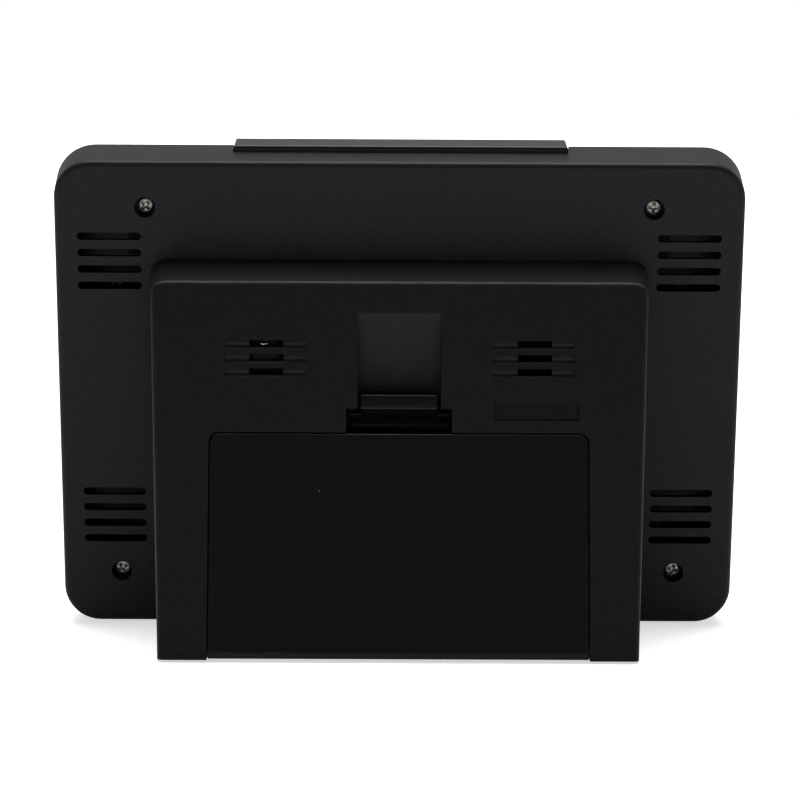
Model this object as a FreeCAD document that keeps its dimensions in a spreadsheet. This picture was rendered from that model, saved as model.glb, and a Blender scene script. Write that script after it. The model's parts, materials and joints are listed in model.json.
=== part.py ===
"""Free-standing digital display frame with a wedge-shaped battery stand, as separate pieces.

Three frames are used. In the upright frame the case stands vertical: X to the right as seen
from the front, Y rearwards from the case's rear wall, Z up from its rear bottom edge. In the
face frame Y points out of the stand's sloping rear face and Z runs up it, from its bottom
edge. The stored frame is the object as it stands: floor at Z = 0, display facing -Y.
"""

import FreeCAD, Part
import math
import os

import Sketcher
from FreeCAD import Placement, Rotation, Vector

SIZES = (
    ("case_width", 206.0, "outline of the case at its rear wall"),
    ("case_height", 144.7, "the same, upwards"),
    ("case_depth", 20.0, "rear wall to the joint with the bezel"),
    ("case_draft", 4.06, "how far the case flares forwards, degrees"),
    ("case_corner", 11.0, "corner radius at the rear wall"),
    ("case_round", 1.8, "rounding of the rear edge"),
    ("wall", 2.2, "moulded wall thickness"),
    ("hump_width", 149.8, "stand where it leaves the rear wall"),
    ("hump_top", 115.4, "top of the stand where it leaves the rear wall"),
    ("hump_draft", 4.86, "draft of the stand's sides and top, degrees"),
    ("hump_corner", 5.0, "upper corner radius of the stand"),
    ("hump_round", 1.6, "rounding of the stand's rear edges"),
    ("hump_reach", 60.8, "rear bottom edge, behind the rear wall"),
    ("hump_lift", 10.7, "rear bottom edge, above the case's bottom edge"),
    ("face_tilt", 21.12, "rear face against the case's rear wall, degrees"),
    ("foot_height", 0.8, "rubber strips under the stand"),
    ("foot_length", 110.0, "the same, across"),
    ("foot_width", 7.0, "the same, front to rear"),
    ("vent_length", 19.2, "vent slot, end to end"),
    ("vent_height", 2.3, "vent slot, and its end diameter"),
    ("vent_offset", 86.8, "slot centre from the middle"),
    ("vent_pitch", 5.03, "slot to slot"),
    ("vent_low", 27.1, "lowest slot of the lower groups"),
    ("vent_high", 107.0, "lowest slot of the upper groups"),
    ("screw_head", 4.8, "case screw head diameter"),
    ("screw_head_height", 1.75, "and its height"),
    ("screw_core", 2.5, "case screw thread diameter"),
    ("screw_length", 12.0, "case screw below its head"),
    ("well_diameter", 6.3, "screw well"),
    ("well_depth", 4.9, "screw well below the rear wall"),
    ("screw_wide_upper", 75.9, "upper screws from the middle"),
    ("screw_wide_lower", 85.2, "lower screws from the middle"),
    ("screw_upper", 130.9, "upper screws, height"),
    ("screw_lower", 16.4, "lower screws, height"),
    ("opening_width", 110.8, "battery opening"),
    ("opening_top", 66.1, "battery opening, up the rear face"),
    ("opening_corner", 3.0, "battery opening, upper corners"),
    ("door_gap", 0.3, "seam round the battery door"),
    ("door_thick", 2.2, "battery door"),
    ("door_round", 0.6, "edge rounding of the door"),
    ("barrel_radius", 2.0, "hinge barrel along the door's foot"),
    ("pin_radius", 1.0, "hinge pins at the barrel's ends"),
    ("pin_length", 3.0, "and their reach into the case"),
    ("pin_clearance", 0.05, "radial running clearance of the pins"),
    ("notch_width", 30.9, "spring notch above the door"),
    ("notch_top", 73.2, "its upper edge"),
    ("notch_depth", 12.2, "its depth"),
    ("scoop_width", 24.2, "finger scoop"),
    ("scoop_top", 101.1, "where the scoop begins"),
    ("scoop_end", 77.3, "where it is deepest"),
    ("scoop_depth", 8.2, "and how deep"),
    ("scoop_round", 0.7, "rounding of its rim"),
    ("lip_width", 23.0, "latch lip"),
    ("lip_bottom", 73.0, "its lower edge"),
    ("lip_top", 77.3, "its upper edge"),
    ("strap_thick", 1.2, "latch spring strap"),
    ("strap_width", 29.2, "and its width"),
    ("bend_depth", 6.5, "centre of the spring's bend, below the face"),
    ("groove_length", 23.9, "speaker groove"),
    ("groove_offset", 39.2, "its middle, from the middle of the face"),
    ("groove_middle", 87.4, "middle groove of the three"),
    ("groove_pitch", 4.1, "groove to groove"),
    ("slit_length", 10.0, "open slit in each groove"),
    ("slit_height", 2.0, "the same"),
    ("slit_shift", 0.35, "how far the slits sit to the left of their grooves' middles"),
    ("plate_width", 24.7, "blank recess for a rating plate"),
    ("plate_height", 5.2, "the same"),
    ("plate_middle", 40.0, "its middle, from the middle of the face"),
    ("plate_low", 69.7, "its lower edge"),
    ("plate_depth", 0.8, "how deep"),
    ("bar_length", 100.6, "press bar on the top"),
    ("bar_top", 147.45, "its top, above the case's bottom edge"),
    ("bar_front", 24.4, "its front side, forward of the rear wall"),
    ("bar_back", 12.0, "its rear side, forward of the rear wall"),
    ("bar_step", 19.3, "where its foot ends and it lies over the bezel"),
    ("bar_round", 1.0, "rounding round its top"),
    ("bar_gap", 0.3, "gap behind the bar"),
    ("bar_end_gap", 0.37, "mean gap at the bar's ends"),
    ("bar_shift", 0.28, "how far the bar sits to the left of the middle"),
    ("notch_shift", 0.42, "the same for the notch round it"),
    ("bar_travel", 1.0, "how far it presses down"),
    ("notch_floor", 142.6, "notch under the bar in the bezel, above the case's bottom edge"),
    ("bezel_depth", 5.0, "front bezel"),
    ("bezel_inset", 0.6, "step from the case to the bezel"),
    ("bezel_draft", 18.0, "slope of the bezel's sides, degrees"),
    ("lens_width", 188.0, "display lens"),
    ("lens_height", 126.0, "the same"),
    ("lens_thick", 1.6, "the same"),
    ("panel_width", 165.0, "seven-inch display module"),
    ("panel_height", 104.0, "the same"),
    ("panel_thick", 5.5, "the same"),
    ("view_width", 154.0, "its viewing area"),
    ("view_height", 86.0, "the same"),
    ("cell_diameter", 26.2, "C cell"),
    ("cell_length", 50.0, "the same, over its nub"),
    ("cell_depth", 15.9, "cell axis below the rear face"),
    ("cell_low", 21.0, "lower cells' axis, up the rear face"),
    ("cell_pitch", 26.6, "row to row"),
    ("cell_shift", 2.65, "how far a row sits towards its flat contact"),
    ("contact_thick", 0.4, "contact plates"),
    ("tray_length", 106.4, "battery tray, inside"),
    ("tray_wall", 1.5, "battery tray"),
    ("tray_floor", 29.3, "battery tray floor below the rear face"),
    ("tray_top", 61.0, "battery tray inside, upper end"),
)

doc = FreeCAD.newDocument("display_frame")
sheet = doc.addObject("Spreadsheet::Sheet", "Sizes")
for row, (alias, value, note) in enumerate(SIZES, start=1):
    sheet.set(f"A{row}", alias)
    sheet.set(f"B{row}", str(value))
    sheet.set(f"C{row}", note)
    sheet.setAlias(f"B{row}", alias)
doc.recompute()

pieces = []


def size(alias):
    """A driving dimension, read back from the sheet."""
    return float(sheet.get(alias))


def number(formula):
    """The value of a formula on the sheet's aliases."""
    return float(sheet.evalExpression(formula))


FACE_TILT = size("face_tilt")
LEAN = math.degrees(math.atan2(size("hump_lift"), size("hump_reach")))
HALF_FLOOR_DEPTH = 18.715
STAND = Placement(Vector(0, -HALF_FLOOR_DEPTH, size("foot_height")), Rotation(Vector(1, 0, 0), -LEAN))
FACE_IN_CASE = Placement(
    Vector(0, size("hump_reach"), size("hump_lift")), Rotation(Vector(1, 0, 0), FACE_TILT)
)
ON_FACE = STAND.multiply(FACE_IN_CASE)
FLOOR_IN_FACE = math.tan(math.radians(FACE_TILT - LEAN))


# ---- drawing helpers -------------------------------------------------------------------


def new_body(label, placement=None):
    """An empty body, which is one piece of the object unless placement is None."""
    body = doc.addObject("PartDesign::Body", label)
    body.Label = label
    if placement is not None:
        body.Placement = placement
        pieces.append(body)
    return body


def new_sketch(body, plane, offset=0.0, on_face=False):
    """A sketch on one of the body's own planes, moved along its normal or laid on the rear face."""
    sketch = body.newObject("Sketcher::SketchObject", f"{body.Name}_sketch")
    sketch.AttachmentSupport = [(next(f for f in body.Origin.OriginFeatures if f.Role == plane), "")]
    sketch.MapMode = "FlatFace"
    shift = Placement(Vector(0, 0, offset), Rotation())
    if on_face:
        face = Placement(
            Vector(0, size("hump_lift"), -size("hump_reach")), Rotation(Vector(1, 0, 0), FACE_TILT)
        )
        shift = face.multiply(shift)
    sketch.AttachmentOffset = shift
    return sketch


def bind(sketch, kind, *where, formula):
    """Add a dimension that follows a formula on the sheet."""
    index = sketch.addConstraint(Sketcher.Constraint(kind, *where, number(formula)))
    sketch.setExpression(f"Constraints[{index}]", formula)


def draw_outline(sketch, points):
    """A closed outline of straight runs through the points."""
    first = sketch.GeometryCount
    count = len(points)
    for i in range(count):
        start = Vector(*points[i], 0)
        end = Vector(*points[(i + 1) % count], 0)
        sketch.addGeometry(Part.LineSegment(start, end), False)
    for i in range(count):
        sketch.addConstraint(
            Sketcher.Constraint("Coincident", first + i, 2, first + (i + 1) % count, 1)
        )


def draw_box(sketch, width, height, middle_x="0", middle_y="0"):
    """An upright rectangle; all four arguments are formulas on the sheet."""
    w, h, x, y = (number(f) for f in (width, height, middle_x, middle_y))
    first = sketch.GeometryCount
    draw_outline(
        sketch,
        [(x - w / 2, y - h / 2), (x + w / 2, y - h / 2), (x + w / 2, y + h / 2), (x - w / 2, y + h / 2)],
    )
    for side, kind in enumerate(("Horizontal", "Vertical", "Horizontal", "Vertical")):
        sketch.addConstraint(Sketcher.Constraint(kind, first + side))
    bind(sketch, "DistanceX", first, 1, first, 2, formula=width)
    bind(sketch, "DistanceY", first + 1, 1, first + 1, 2, formula=height)
    bind(sketch, "DistanceX", -1, 1, first, 2, formula=f"{middle_x} + ({width}) / 2")
    bind(sketch, "DistanceY", -1, 1, first + 1, 2, formula=f"{middle_y} + ({height}) / 2")


def draw_rounded_box(sketch, width, height, radius, middle_y="0"):
    """A rectangle with equal corner arcs, centred on the sketch's upright axis."""
    w, h, r, y = (number(f) for f in (width, height, radius, middle_y))
    corners = ((1, -1, -90), (1, 1, 0), (-1, 1, 90), (-1, -1, 180))
    first = sketch.GeometryCount
    for i, (sx, sy, start) in enumerate(corners):
        px, py, _ = corners[i - 1]
        centre = Vector(sx * (w / 2 - r), y + sy * (h / 2 - r), 0)
        last = Vector(px * (w / 2 - r), y + py * (h / 2 - r), 0)
        out = Vector(math.cos(math.radians(start)), math.sin(math.radians(start)), 0) * r
        sketch.addGeometry(Part.LineSegment(last + out, centre + out), False)
        circle = Part.Circle(centre, Vector(0, 0, 1), r)
        sketch.addGeometry(Part.ArcOfCircle(circle, math.radians(start), math.radians(start + 90)), False)
    for i in range(8):
        sketch.addConstraint(Sketcher.Constraint("Tangent", first + i, 2, first + (i + 1) % 8, 1))
    for i in (3, 5, 7):
        sketch.addConstraint(Sketcher.Constraint("Equal", first + 1, first + i))
    for i, kind in ((0, "Horizontal"), (2, "Vertical")):
        sketch.addConstraint(Sketcher.Constraint(kind, first + i))
    bind(sketch, "Radius", first + 1, formula=radius)
    bind(sketch, "DistanceX", first + 6, 1, first + 2, 1, formula=width)
    bind(sketch, "DistanceY", first, 1, first + 4, 1, formula=height)
    bind(sketch, "DistanceX", -1, 1, first + 2, 1, formula=f"({width}) / 2")
    bind(sketch, "DistanceY", -1, 1, first + 4, 1, formula=f"{middle_y} + ({height}) / 2")


def draw_circle(sketch, radius, middle_x="0", middle_y="0"):
    """A circle; the arguments are formulas on the sheet."""
    centre = Vector(number(middle_x), number(middle_y), 0)
    index = sketch.addGeometry(Part.Circle(centre, Vector(0, 0, 1), number(radius)), False)
    bind(sketch, "Radius", index, formula=radius)
    bind(sketch, "DistanceX", -1, 1, index, 3, formula=middle_x)
    bind(sketch, "DistanceY", -1, 1, index, 3, formula=middle_y)


def draw_slot(sketch, middle_x, middle_y, length, height):
    """A level slot with round ends, placed by number."""
    r = height / 2
    reach = length / 2 - r
    left = Vector(middle_x - reach, middle_y, 0)
    right = Vector(middle_x + reach, middle_y, 0)
    up = Vector(0, r, 0)
    first = sketch.addGeometry(Part.LineSegment(left - up, right - up), False)
    quarter = math.pi / 2
    sketch.addGeometry(Part.ArcOfCircle(Part.Circle(right, Vector(0, 0, 1), r), -quarter, quarter), False)
    sketch.addGeometry(Part.LineSegment(right + up, left + up), False)
    sketch.addGeometry(Part.ArcOfCircle(Part.Circle(left, Vector(0, 0, 1), r), quarter, 3 * quarter), False)
    for i in range(4):
        sketch.addConstraint(Sketcher.Constraint("Coincident", first + i, 2, first + (i + 1) % 4, 1))


def grow(body, kind, sketch, length, reverse=False, both=False, taper=None):
    """A Pad or Pocket whose length and taper follow formulas; it must change the solid."""
    before = body.Tip.Shape.Volume if body.Tip is not None else 0.0
    feature = body.newObject(f"PartDesign::{kind}", f"{body.Name}_{kind.lower()}")
    feature.Profile = sketch
    feature.setExpression("Length", length)
    feature.Reversed = reverse
    feature.SideType = "Symmetric" if both else "One side"
    if taper is not None:
        feature.setExpression("TaperAngle", taper)
    doc.recompute()
    change = feature.Shape.Volume - before
    if (change <= 0) if kind == "Pad" else (change >= 0):
        raise RuntimeError(f"{feature.Name} changed nothing")
    return feature


def round_edges(body, radius, chosen, kind="Fillet"):
    """Fillet or chamfer the edges of the body's tip that pass the test."""
    base = body.Tip
    names = [f"Edge{i}" for i, edge in enumerate(base.Shape.Edges, start=1) if chosen(edge)]
    if not names:
        raise RuntimeError(f"{body.Label} has no such edges")
    feature = body.newObject(f"PartDesign::{kind}", f"{body.Name}_{kind.lower()}")
    feature.Base = (base, names)
    feature.setExpression("Radius" if kind == "Fillet" else "Size", radius)
    doc.recompute()
    return feature


def level_y(value, room=0.01):
    """A test for edges that lie wholly at one Y."""
    return lambda e: abs(e.BoundBox.YMin - value) < room and abs(e.BoundBox.YMax - value) < room


def in_face(edge):
    """The edge's two ends as (across, outward, up) in the face frame."""
    back = FACE_IN_CASE.inverse()
    return [back.multVec(v.Point) for v in edge.Vertexes]


def case_point(outward, up):
    """A point of the face frame's middle plane, as (Y, Z) of the upright frame."""
    spot = FACE_IN_CASE.multVec(Vector(0, outward, up))
    return spot.y, spot.z


def plain_box(label, placement, corner, formulas):
    """A rectangular piece with its low corner at a point and its three sizes from formulas."""
    piece = doc.addObject("Part::Box", label)
    piece.Label = label
    for side, formula in zip(("Length", "Width", "Height"), formulas):
        piece.setExpression(side, formula)
    piece.Placement = placement.multiply(Placement(Vector(*corner), Rotation()))
    pieces.append(piece)
    return piece


def group(label, shapes, placement):
    """Several like solids as one piece."""
    piece = doc.addObject("Part::Feature", label)
    piece.Label = label
    piece.Shape = Part.makeCompound(shapes) if len(shapes) > 1 else shapes[0]
    piece.Placement = placement
    pieces.append(piece)
    return piece


# ---- rear case -------------------------------------------------------------------------

MIDDLE = "Sizes.case_height / 2"


def hump_solid(body, inset, start):
    """The wedge stand, shrunk by inset on every side and begun at Y = start."""
    sketch = new_sketch(body, "XZ_Plane", -start)
    skirt = 30.0
    draw_rounded_box(
        sketch,
        f"Sizes.hump_width - 2 * {inset}",
        f"Sizes.hump_top + {skirt} - {inset}",
        f"Sizes.hump_corner - {inset} / 2",
        f"(Sizes.hump_top - {skirt} - {inset}) / 2",
    )
    grow(body, "Pad", sketch, "Sizes.hump_reach + 12", reverse=True, taper="-Sizes.hump_draft")
    far = 60.0
    low = case_point(-inset, inset / math.cos(math.radians(FACE_TILT - LEAN)) + inset * FLOOR_IN_FACE)
    high = case_point(-inset, 140.0)
    front = (start - 1, low[1] - (low[0] - start + 1) * math.tan(math.radians(LEAN)))
    cut = new_sketch(body, "YZ_Plane")
    draw_outline(
        cut,
        [front, low, high, (high[0] + 2 * far, high[1]), (low[0] + far, -far), (front[0], -far)],
    )
    grow(body, "Pocket", cut, "Sizes.hump_width + 20", both=True)


def make_cavity():
    """The space inside the case and stand, as a tool body."""
    body = new_body("case_cavity")
    main = new_sketch(body, "XZ_Plane", size("wall"))
    inner = "Sizes.wall"
    draw_rounded_box(
        main,
        f"Sizes.case_width - 2 * {inner}",
        f"Sizes.case_height - 2 * {inner}",
        f"Sizes.case_corner - {inner}",
        MIDDLE,
    )
    grow(body, "Pad", main, "Sizes.case_depth", taper="Sizes.case_draft")
    hump_solid(body, size("wall"), -4.0)
    return body


def make_rear_case():
    body = new_body("rear_case", STAND)
    outline = new_sketch(body, "XZ_Plane")
    draw_rounded_box(outline, "Sizes.case_width", "Sizes.case_height", "Sizes.case_corner", MIDDLE)
    grow(body, "Pad", outline, "Sizes.case_depth", taper="Sizes.case_draft")
    round_edges(body, "Sizes.case_round", level_y(0.0))
    hump_solid(body, 0.0, -2.0)

    def on_rear_edge(edge):
        ends = in_face(edge)
        return all(abs(p.y) < 0.01 for p in ends) and max(p.z for p in ends) > 5.0

    round_edges(body, "Sizes.hump_round", on_rear_edge)
    cavity = make_cavity()
    hollow = body.newObject("PartDesign::Boolean", "rear_case_hollow")
    hollow.setObjects([cavity])
    hollow.Type = "Cut"
    doc.recompute()
    add_screw_wells(body)
    add_vents(body)
    add_latch_recess(body)
    add_door_opening(body)
    add_speaker_grooves(body)
    add_top_slot(body)
    add_card_slot(body)


def screw_places():
    """The four case screws as (across, up) formulas."""
    for side in ("-", ""):
        yield f"{side}Sizes.screw_wide_upper", "Sizes.screw_upper"
        yield f"{side}Sizes.screw_wide_lower", "Sizes.screw_lower"


def add_screw_wells(body):
    floor = "1.5"
    rings = (
        ("Pad", "Sizes.well_diameter / 2 + 1.5", f"Sizes.well_depth + {floor} - 1", 1.0),
        ("Pocket", "Sizes.well_diameter / 2", "Sizes.well_depth + 1", -1.0),
        ("Pocket", "Sizes.screw_core / 2 + 0.2", f"Sizes.well_depth + {floor} + 2", -1.0),
    )
    for kind, radius, length, start in rings:
        sketch = new_sketch(body, "XZ_Plane", start)
        for x, z in screw_places():
            draw_circle(sketch, radius, x, z)
        grow(body, kind, sketch, length, reverse=kind == "Pocket")


def add_vents(body):
    sketch = new_sketch(body, "XZ_Plane", -1.0)
    for side in (-1, 1):
        for base in ("vent_low", "vent_high"):
            for i in range(4):
                up = size(base) + i * size("vent_pitch")
                draw_slot(sketch, side * size("vent_offset"), up, size("vent_length"), size("vent_height"))
    grow(body, "Pocket", sketch, "Sizes.wall + 2", reverse=True)


def add_latch_recess(body):
    """A solid block behind the face, with the spring notch and the finger scoop cut in it."""
    block = new_sketch(body, "XZ_Plane", 0.8, on_face=True)
    draw_box(
        block,
        "Sizes.notch_width + 4",
        "Sizes.scoop_top - Sizes.opening_top + 3",
        "0",
        "(Sizes.scoop_top + Sizes.opening_top + 3) / 2",
    )
    grow(body, "Pad", block, "Sizes.notch_depth + 1")
    notch = new_sketch(body, "XZ_Plane", -1.0, on_face=True)
    draw_box(
        notch,
        "Sizes.notch_width",
        "Sizes.notch_top - Sizes.opening_top + 1",
        "0",
        "(Sizes.notch_top + Sizes.opening_top - 1) / 2",
    )
    grow(body, "Pocket", notch, "Sizes.notch_depth + 1", reverse=True)
    top, end, depth = size("scoop_top"), size("scoop_end"), size("scoop_depth")
    start = case_point(0.0, top)
    middle = case_point(-depth * 0.74, (top + end) / 2)
    deep = case_point(-depth, end)
    corners = [
        case_point(-size("notch_depth"), end),
        case_point(-size("notch_depth"), size("opening_top")),
        case_point(3.0, size("opening_top")),
        case_point(3.0, top),
    ]
    scoop = new_sketch(body, "YZ_Plane")
    ramp = Part.Arc(Vector(*start, 0), Vector(*middle, 0), Vector(*deep, 0))
    scoop.addGeometry(ramp, False)
    for a, b in zip([deep] + corners, corners + [start]):
        scoop.addGeometry(Part.LineSegment(Vector(*a, 0), Vector(*b, 0)), False)
    grow(body, "Pocket", scoop, "Sizes.scoop_width", both=True)

    def on_scoop_rim(edge):
        ends = in_face(edge)
        return (
            all(abs(p.y) < 0.01 and abs(p.x) < size("scoop_width") / 2 + 0.1 for p in ends)
            and min(p.z for p in ends) > size("notch_top") - 0.1
            and max(p.z for p in ends) < top + 0.1
            and max(p.z for p in ends) > size("scoop_end")
        )

    round_edges(body, "Sizes.scoop_round", on_scoop_rim)


def add_door_opening(body):
    """The opening, two blocks that hold the hinge pins, and the pins' holes."""
    blocks = new_sketch(body, "XZ_Plane", 0.5, on_face=True)
    for side in ("-", ""):
        draw_box(blocks, "5.0", "5.4", f"{side}(Sizes.opening_width / 2 + 2.5)", "4.3")
    grow(body, "Pad", blocks, "5.0")
    opening = new_sketch(body, "XZ_Plane", -1.0, on_face=True)
    draw_rounded_box(
        opening,
        "Sizes.opening_width",
        "Sizes.opening_top + 20",
        "Sizes.opening_corner",
        "(Sizes.opening_top - 20) / 2",
    )
    grow(body, "Pocket", opening, "5.8", reverse=True)
    axis_y, axis_z = case_point(*hinge_axis())
    holes = new_sketch(body, "YZ_Plane")
    running = size("pin_radius") + size("pin_clearance")
    holes.addGeometry(Part.Circle(Vector(axis_y, axis_z, 0), Vector(0, 0, 1), running), False)
    grow(body, "Pocket", holes, "Sizes.opening_width + 2 * Sizes.pin_length + 1", both=True)


def hinge_axis():
    """The door's hinge as (outward, up): its barrel touches the face and the underside."""
    radius = size("barrel_radius")
    tilt = math.radians(FACE_TILT - LEAN)
    return -radius, (radius + radius * math.sin(tilt)) / math.cos(tilt)


def add_speaker_grooves(body):
    """Three hollow grooves each side, each with a slit through its upper half."""
    rise, radius = 0.5, 1.35
    for side in (-1, 1):
        grooves = new_sketch(body, "YZ_Plane", side * size("groove_offset"))
        for i in (-1, 0, 1):
            spot = case_point(rise, size("groove_middle") + i * size("groove_pitch"))
            grooves.addGeometry(Part.Circle(Vector(*spot, 0), Vector(0, 0, 1), radius), False)
        grow(body, "Pocket", grooves, "Sizes.groove_length", both=True)
    slits = new_sketch(body, "XZ_Plane", -1.0, on_face=True)
    for side in ("-", ""):
        for i in (-1, 0, 1):
            draw_box(
                slits,
                "Sizes.slit_length",
                "Sizes.slit_height",
                f"{side}Sizes.groove_offset - Sizes.slit_shift",
                f"Sizes.groove_middle + {i} * Sizes.groove_pitch + 0.6",
            )
    grow(body, "Pocket", slits, "Sizes.wall + 2", reverse=True)
    plate = new_sketch(body, "XZ_Plane", -1.0, on_face=True)
    draw_box(
        plate,
        "Sizes.plate_width",
        "Sizes.plate_height",
        "-Sizes.plate_middle",
        "Sizes.plate_low + Sizes.plate_height / 2",
    )
    grow(body, "Pocket", plate, "Sizes.plate_depth + 1", reverse=True)


def notch_width():
    """Formula for the width of the notch that the press bar lies in."""
    return "Sizes.bar_length + 2 * Sizes.bar_end_gap"


def add_top_slot(body):
    """The press bar's notch in the top wall, open to the front, and two ribs for its switch board."""
    slot = new_sketch(body, "XY_Plane", size("case_height") - 5.0)
    rear = "(Sizes.bar_back - Sizes.bar_gap)"
    front = "(Sizes.case_depth + 2)"
    draw_box(slot, notch_width(), f"{front} - {rear}", "-Sizes.notch_shift", f"-({front} + {rear}) / 2")
    grow(body, "Pocket", slot, "10", reverse=True)
    ribs = new_sketch(body, "XZ_Plane", size("wall") - 0.5)
    for side in ("-", ""):
        draw_box(ribs, "2.0", "2.0", f"{side}39", "133.3")
    grow(body, "Pad", ribs, "15.0")


def add_card_slot(body):
    """The memory card's slot in one side wall."""
    slot = new_sketch(body, "YZ_Plane", 95.0)
    draw_box(slot, "3.0", "25.0", "-9.9", "75.0")
    grow(body, "Pocket", slot, "14", reverse=True)


# ---- front: bezel, lens, display, boards -----------------------------------------------

BOARD_BACK = -9.1
POST_SPOTS = ((-60.0, 48.0), (60.0, 48.0), (-60.0, 100.0), (60.0, 100.0))
PLATE_SPOTS = ((-86.0, 45.0), (86.0, 45.0), (-86.0, 103.0), (86.0, 103.0))
PANEL_MIDDLE = "Sizes.case_height / 2 + 1.3"


def front_outline(inset):
    """Width, height and corner radius formulas of the case's front outline, inset."""
    flare = f"Sizes.case_depth * {math.tan(math.radians(size('case_draft'))):.5f}"
    return (
        f"Sizes.case_width + 2 * {flare} - 2 * {inset}",
        f"Sizes.case_height + 2 * {flare} - 2 * {inset}",
        f"Sizes.case_corner + {flare} - {inset}",
    )


def make_front_bezel():
    body = new_body("front_bezel", STAND)
    joint = size("case_depth")
    outline = new_sketch(body, "XZ_Plane", joint)
    draw_rounded_box(outline, *front_outline("Sizes.bezel_inset"), MIDDLE)
    grow(body, "Pad", outline, "Sizes.bezel_depth", taper="-Sizes.bezel_draft")
    round_edges(body, "1.6", level_y(-joint - size("bezel_depth")))
    spigot = new_sketch(body, "XZ_Plane", joint - 2.5)
    draw_rounded_box(spigot, *front_outline("(Sizes.wall + 0.5)"), MIDDLE)
    grow(body, "Pad", spigot, "3.0")
    hollow = new_sketch(body, "XZ_Plane", joint - 3.0)
    draw_rounded_box(hollow, *front_outline("(Sizes.wall + 2.0)"), MIDDLE)
    grow(body, "Pocket", hollow, "4.2", reverse=True)
    pane = new_sketch(body, "XZ_Plane", joint + size("bezel_depth") + 1.0)
    draw_rounded_box(pane, "Sizes.lens_width + 0.4", "Sizes.lens_height + 0.4", "5", MIDDLE)
    grow(body, "Pocket", pane, "Sizes.lens_thick + 1.2")
    window = new_sketch(body, "XZ_Plane", joint - 1.0)
    draw_rounded_box(window, "Sizes.view_width + 3", "Sizes.view_height + 3", "2", PANEL_MIDDLE)
    grow(body, "Pocket", window, "8", reverse=True)
    add_bar_notch(body)
    add_bezel_posts(body)


def add_bar_notch(body):
    """The notch carried on through the bezel, deeper behind the joint so that the bar's foot clears."""
    notch = new_sketch(body, "YZ_Plane", -size("notch_shift"))
    front, joint = size("case_depth") + size("bezel_depth") + 1.0, size("case_depth") - 0.1
    floor, foot, above = size("notch_floor"), size("notch_floor") - 3.2, size("case_height") + 5.0
    draw_outline(
        notch,
        [
            (-front, floor),
            (-joint, floor),
            (-joint, foot),
            (-joint + 4.0, foot),
            (-joint + 4.0, above),
            (-front, above),
        ],
    )
    grow(body, "Pocket", notch, notch_width(), both=True)


def add_bezel_posts(body):
    """Posts for the four case screws and for the display's back plate."""
    back = size("case_depth") + 1.5
    posts = new_sketch(body, "XZ_Plane", size("well_depth") + 1.6)
    for x, z in screw_places():
        draw_circle(posts, "3.4", x, z)
    grow(body, "Pad", posts, f"{back} - Sizes.well_depth - 1.6")
    short = new_sketch(body, "XZ_Plane", 15.5)
    for x, z in PLATE_SPOTS:
        draw_circle(short, "2.5", str(x), str(z))
    grow(body, "Pad", short, f"{back} - 15.5")
    bores = new_sketch(body, "XZ_Plane", size("well_depth"))
    for x, z in screw_places():
        draw_circle(bores, "Sizes.screw_core / 2 + 0.02", x, z)
    grow(body, "Pocket", bores, "14", reverse=True)


def make_display():
    lens = new_body("display_lens", STAND)
    face = new_sketch(lens, "XZ_Plane", size("case_depth") + size("bezel_depth") - 0.2 - size("lens_thick"))
    draw_rounded_box(face, "Sizes.lens_width", "Sizes.lens_height", "4.8", MIDDLE)
    grow(lens, "Pad", face, "Sizes.lens_thick")
    round_edges(lens, "0.3", level_y(-size("case_depth") - size("bezel_depth") + 0.2))

    panel = new_body("lcd_panel", STAND)
    back = new_sketch(panel, "XZ_Plane", 15.6)
    draw_box(back, "Sizes.panel_width", "Sizes.panel_height", "0", PANEL_MIDDLE)
    grow(panel, "Pad", back, "Sizes.panel_thick")
    view = new_sketch(panel, "XZ_Plane", 15.6 + size("panel_thick") + 1.0)
    draw_box(view, "Sizes.view_width", "Sizes.view_height", "0", PANEL_MIDDLE)
    grow(panel, "Pocket", view, "1.3")

    plate = new_body("lcd_back_plate", STAND)
    flat = new_sketch(plate, "XZ_Plane", 14.7)
    draw_rounded_box(flat, "180", "72", "3", PANEL_MIDDLE)
    for x, z in PLATE_SPOTS + POST_SPOTS:
        draw_circle(flat, "1.2", str(x), str(z))
    grow(plate, "Pad", flat, "0.8")


def pillar(radius, x, y, z, length):
    """A cylinder along Y, from y forwards."""
    return Part.makeCylinder(radius, length, Vector(x, y, z), Vector(0, -1, 0))


def small_screws(label, spots, seat, head_radius, core_radius, length):
    """Pan-head screws driven forwards, with their heads on a seat at Y = seat."""
    shapes = []
    for x, z in spots:
        head = pillar(head_radius, x, seat + 1.0, z, 1.0)
        slot = Part.makeBox(0.5, 0.5, 2 * head_radius - 0.8)
        slot.translate(Vector(x - 0.25, seat + 0.6, z - head_radius + 0.4))
        shapes.append(head.fuse(pillar(core_radius, x, seat, z, length)).cut(slot))
    return group(label, shapes, STAND)


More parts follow.
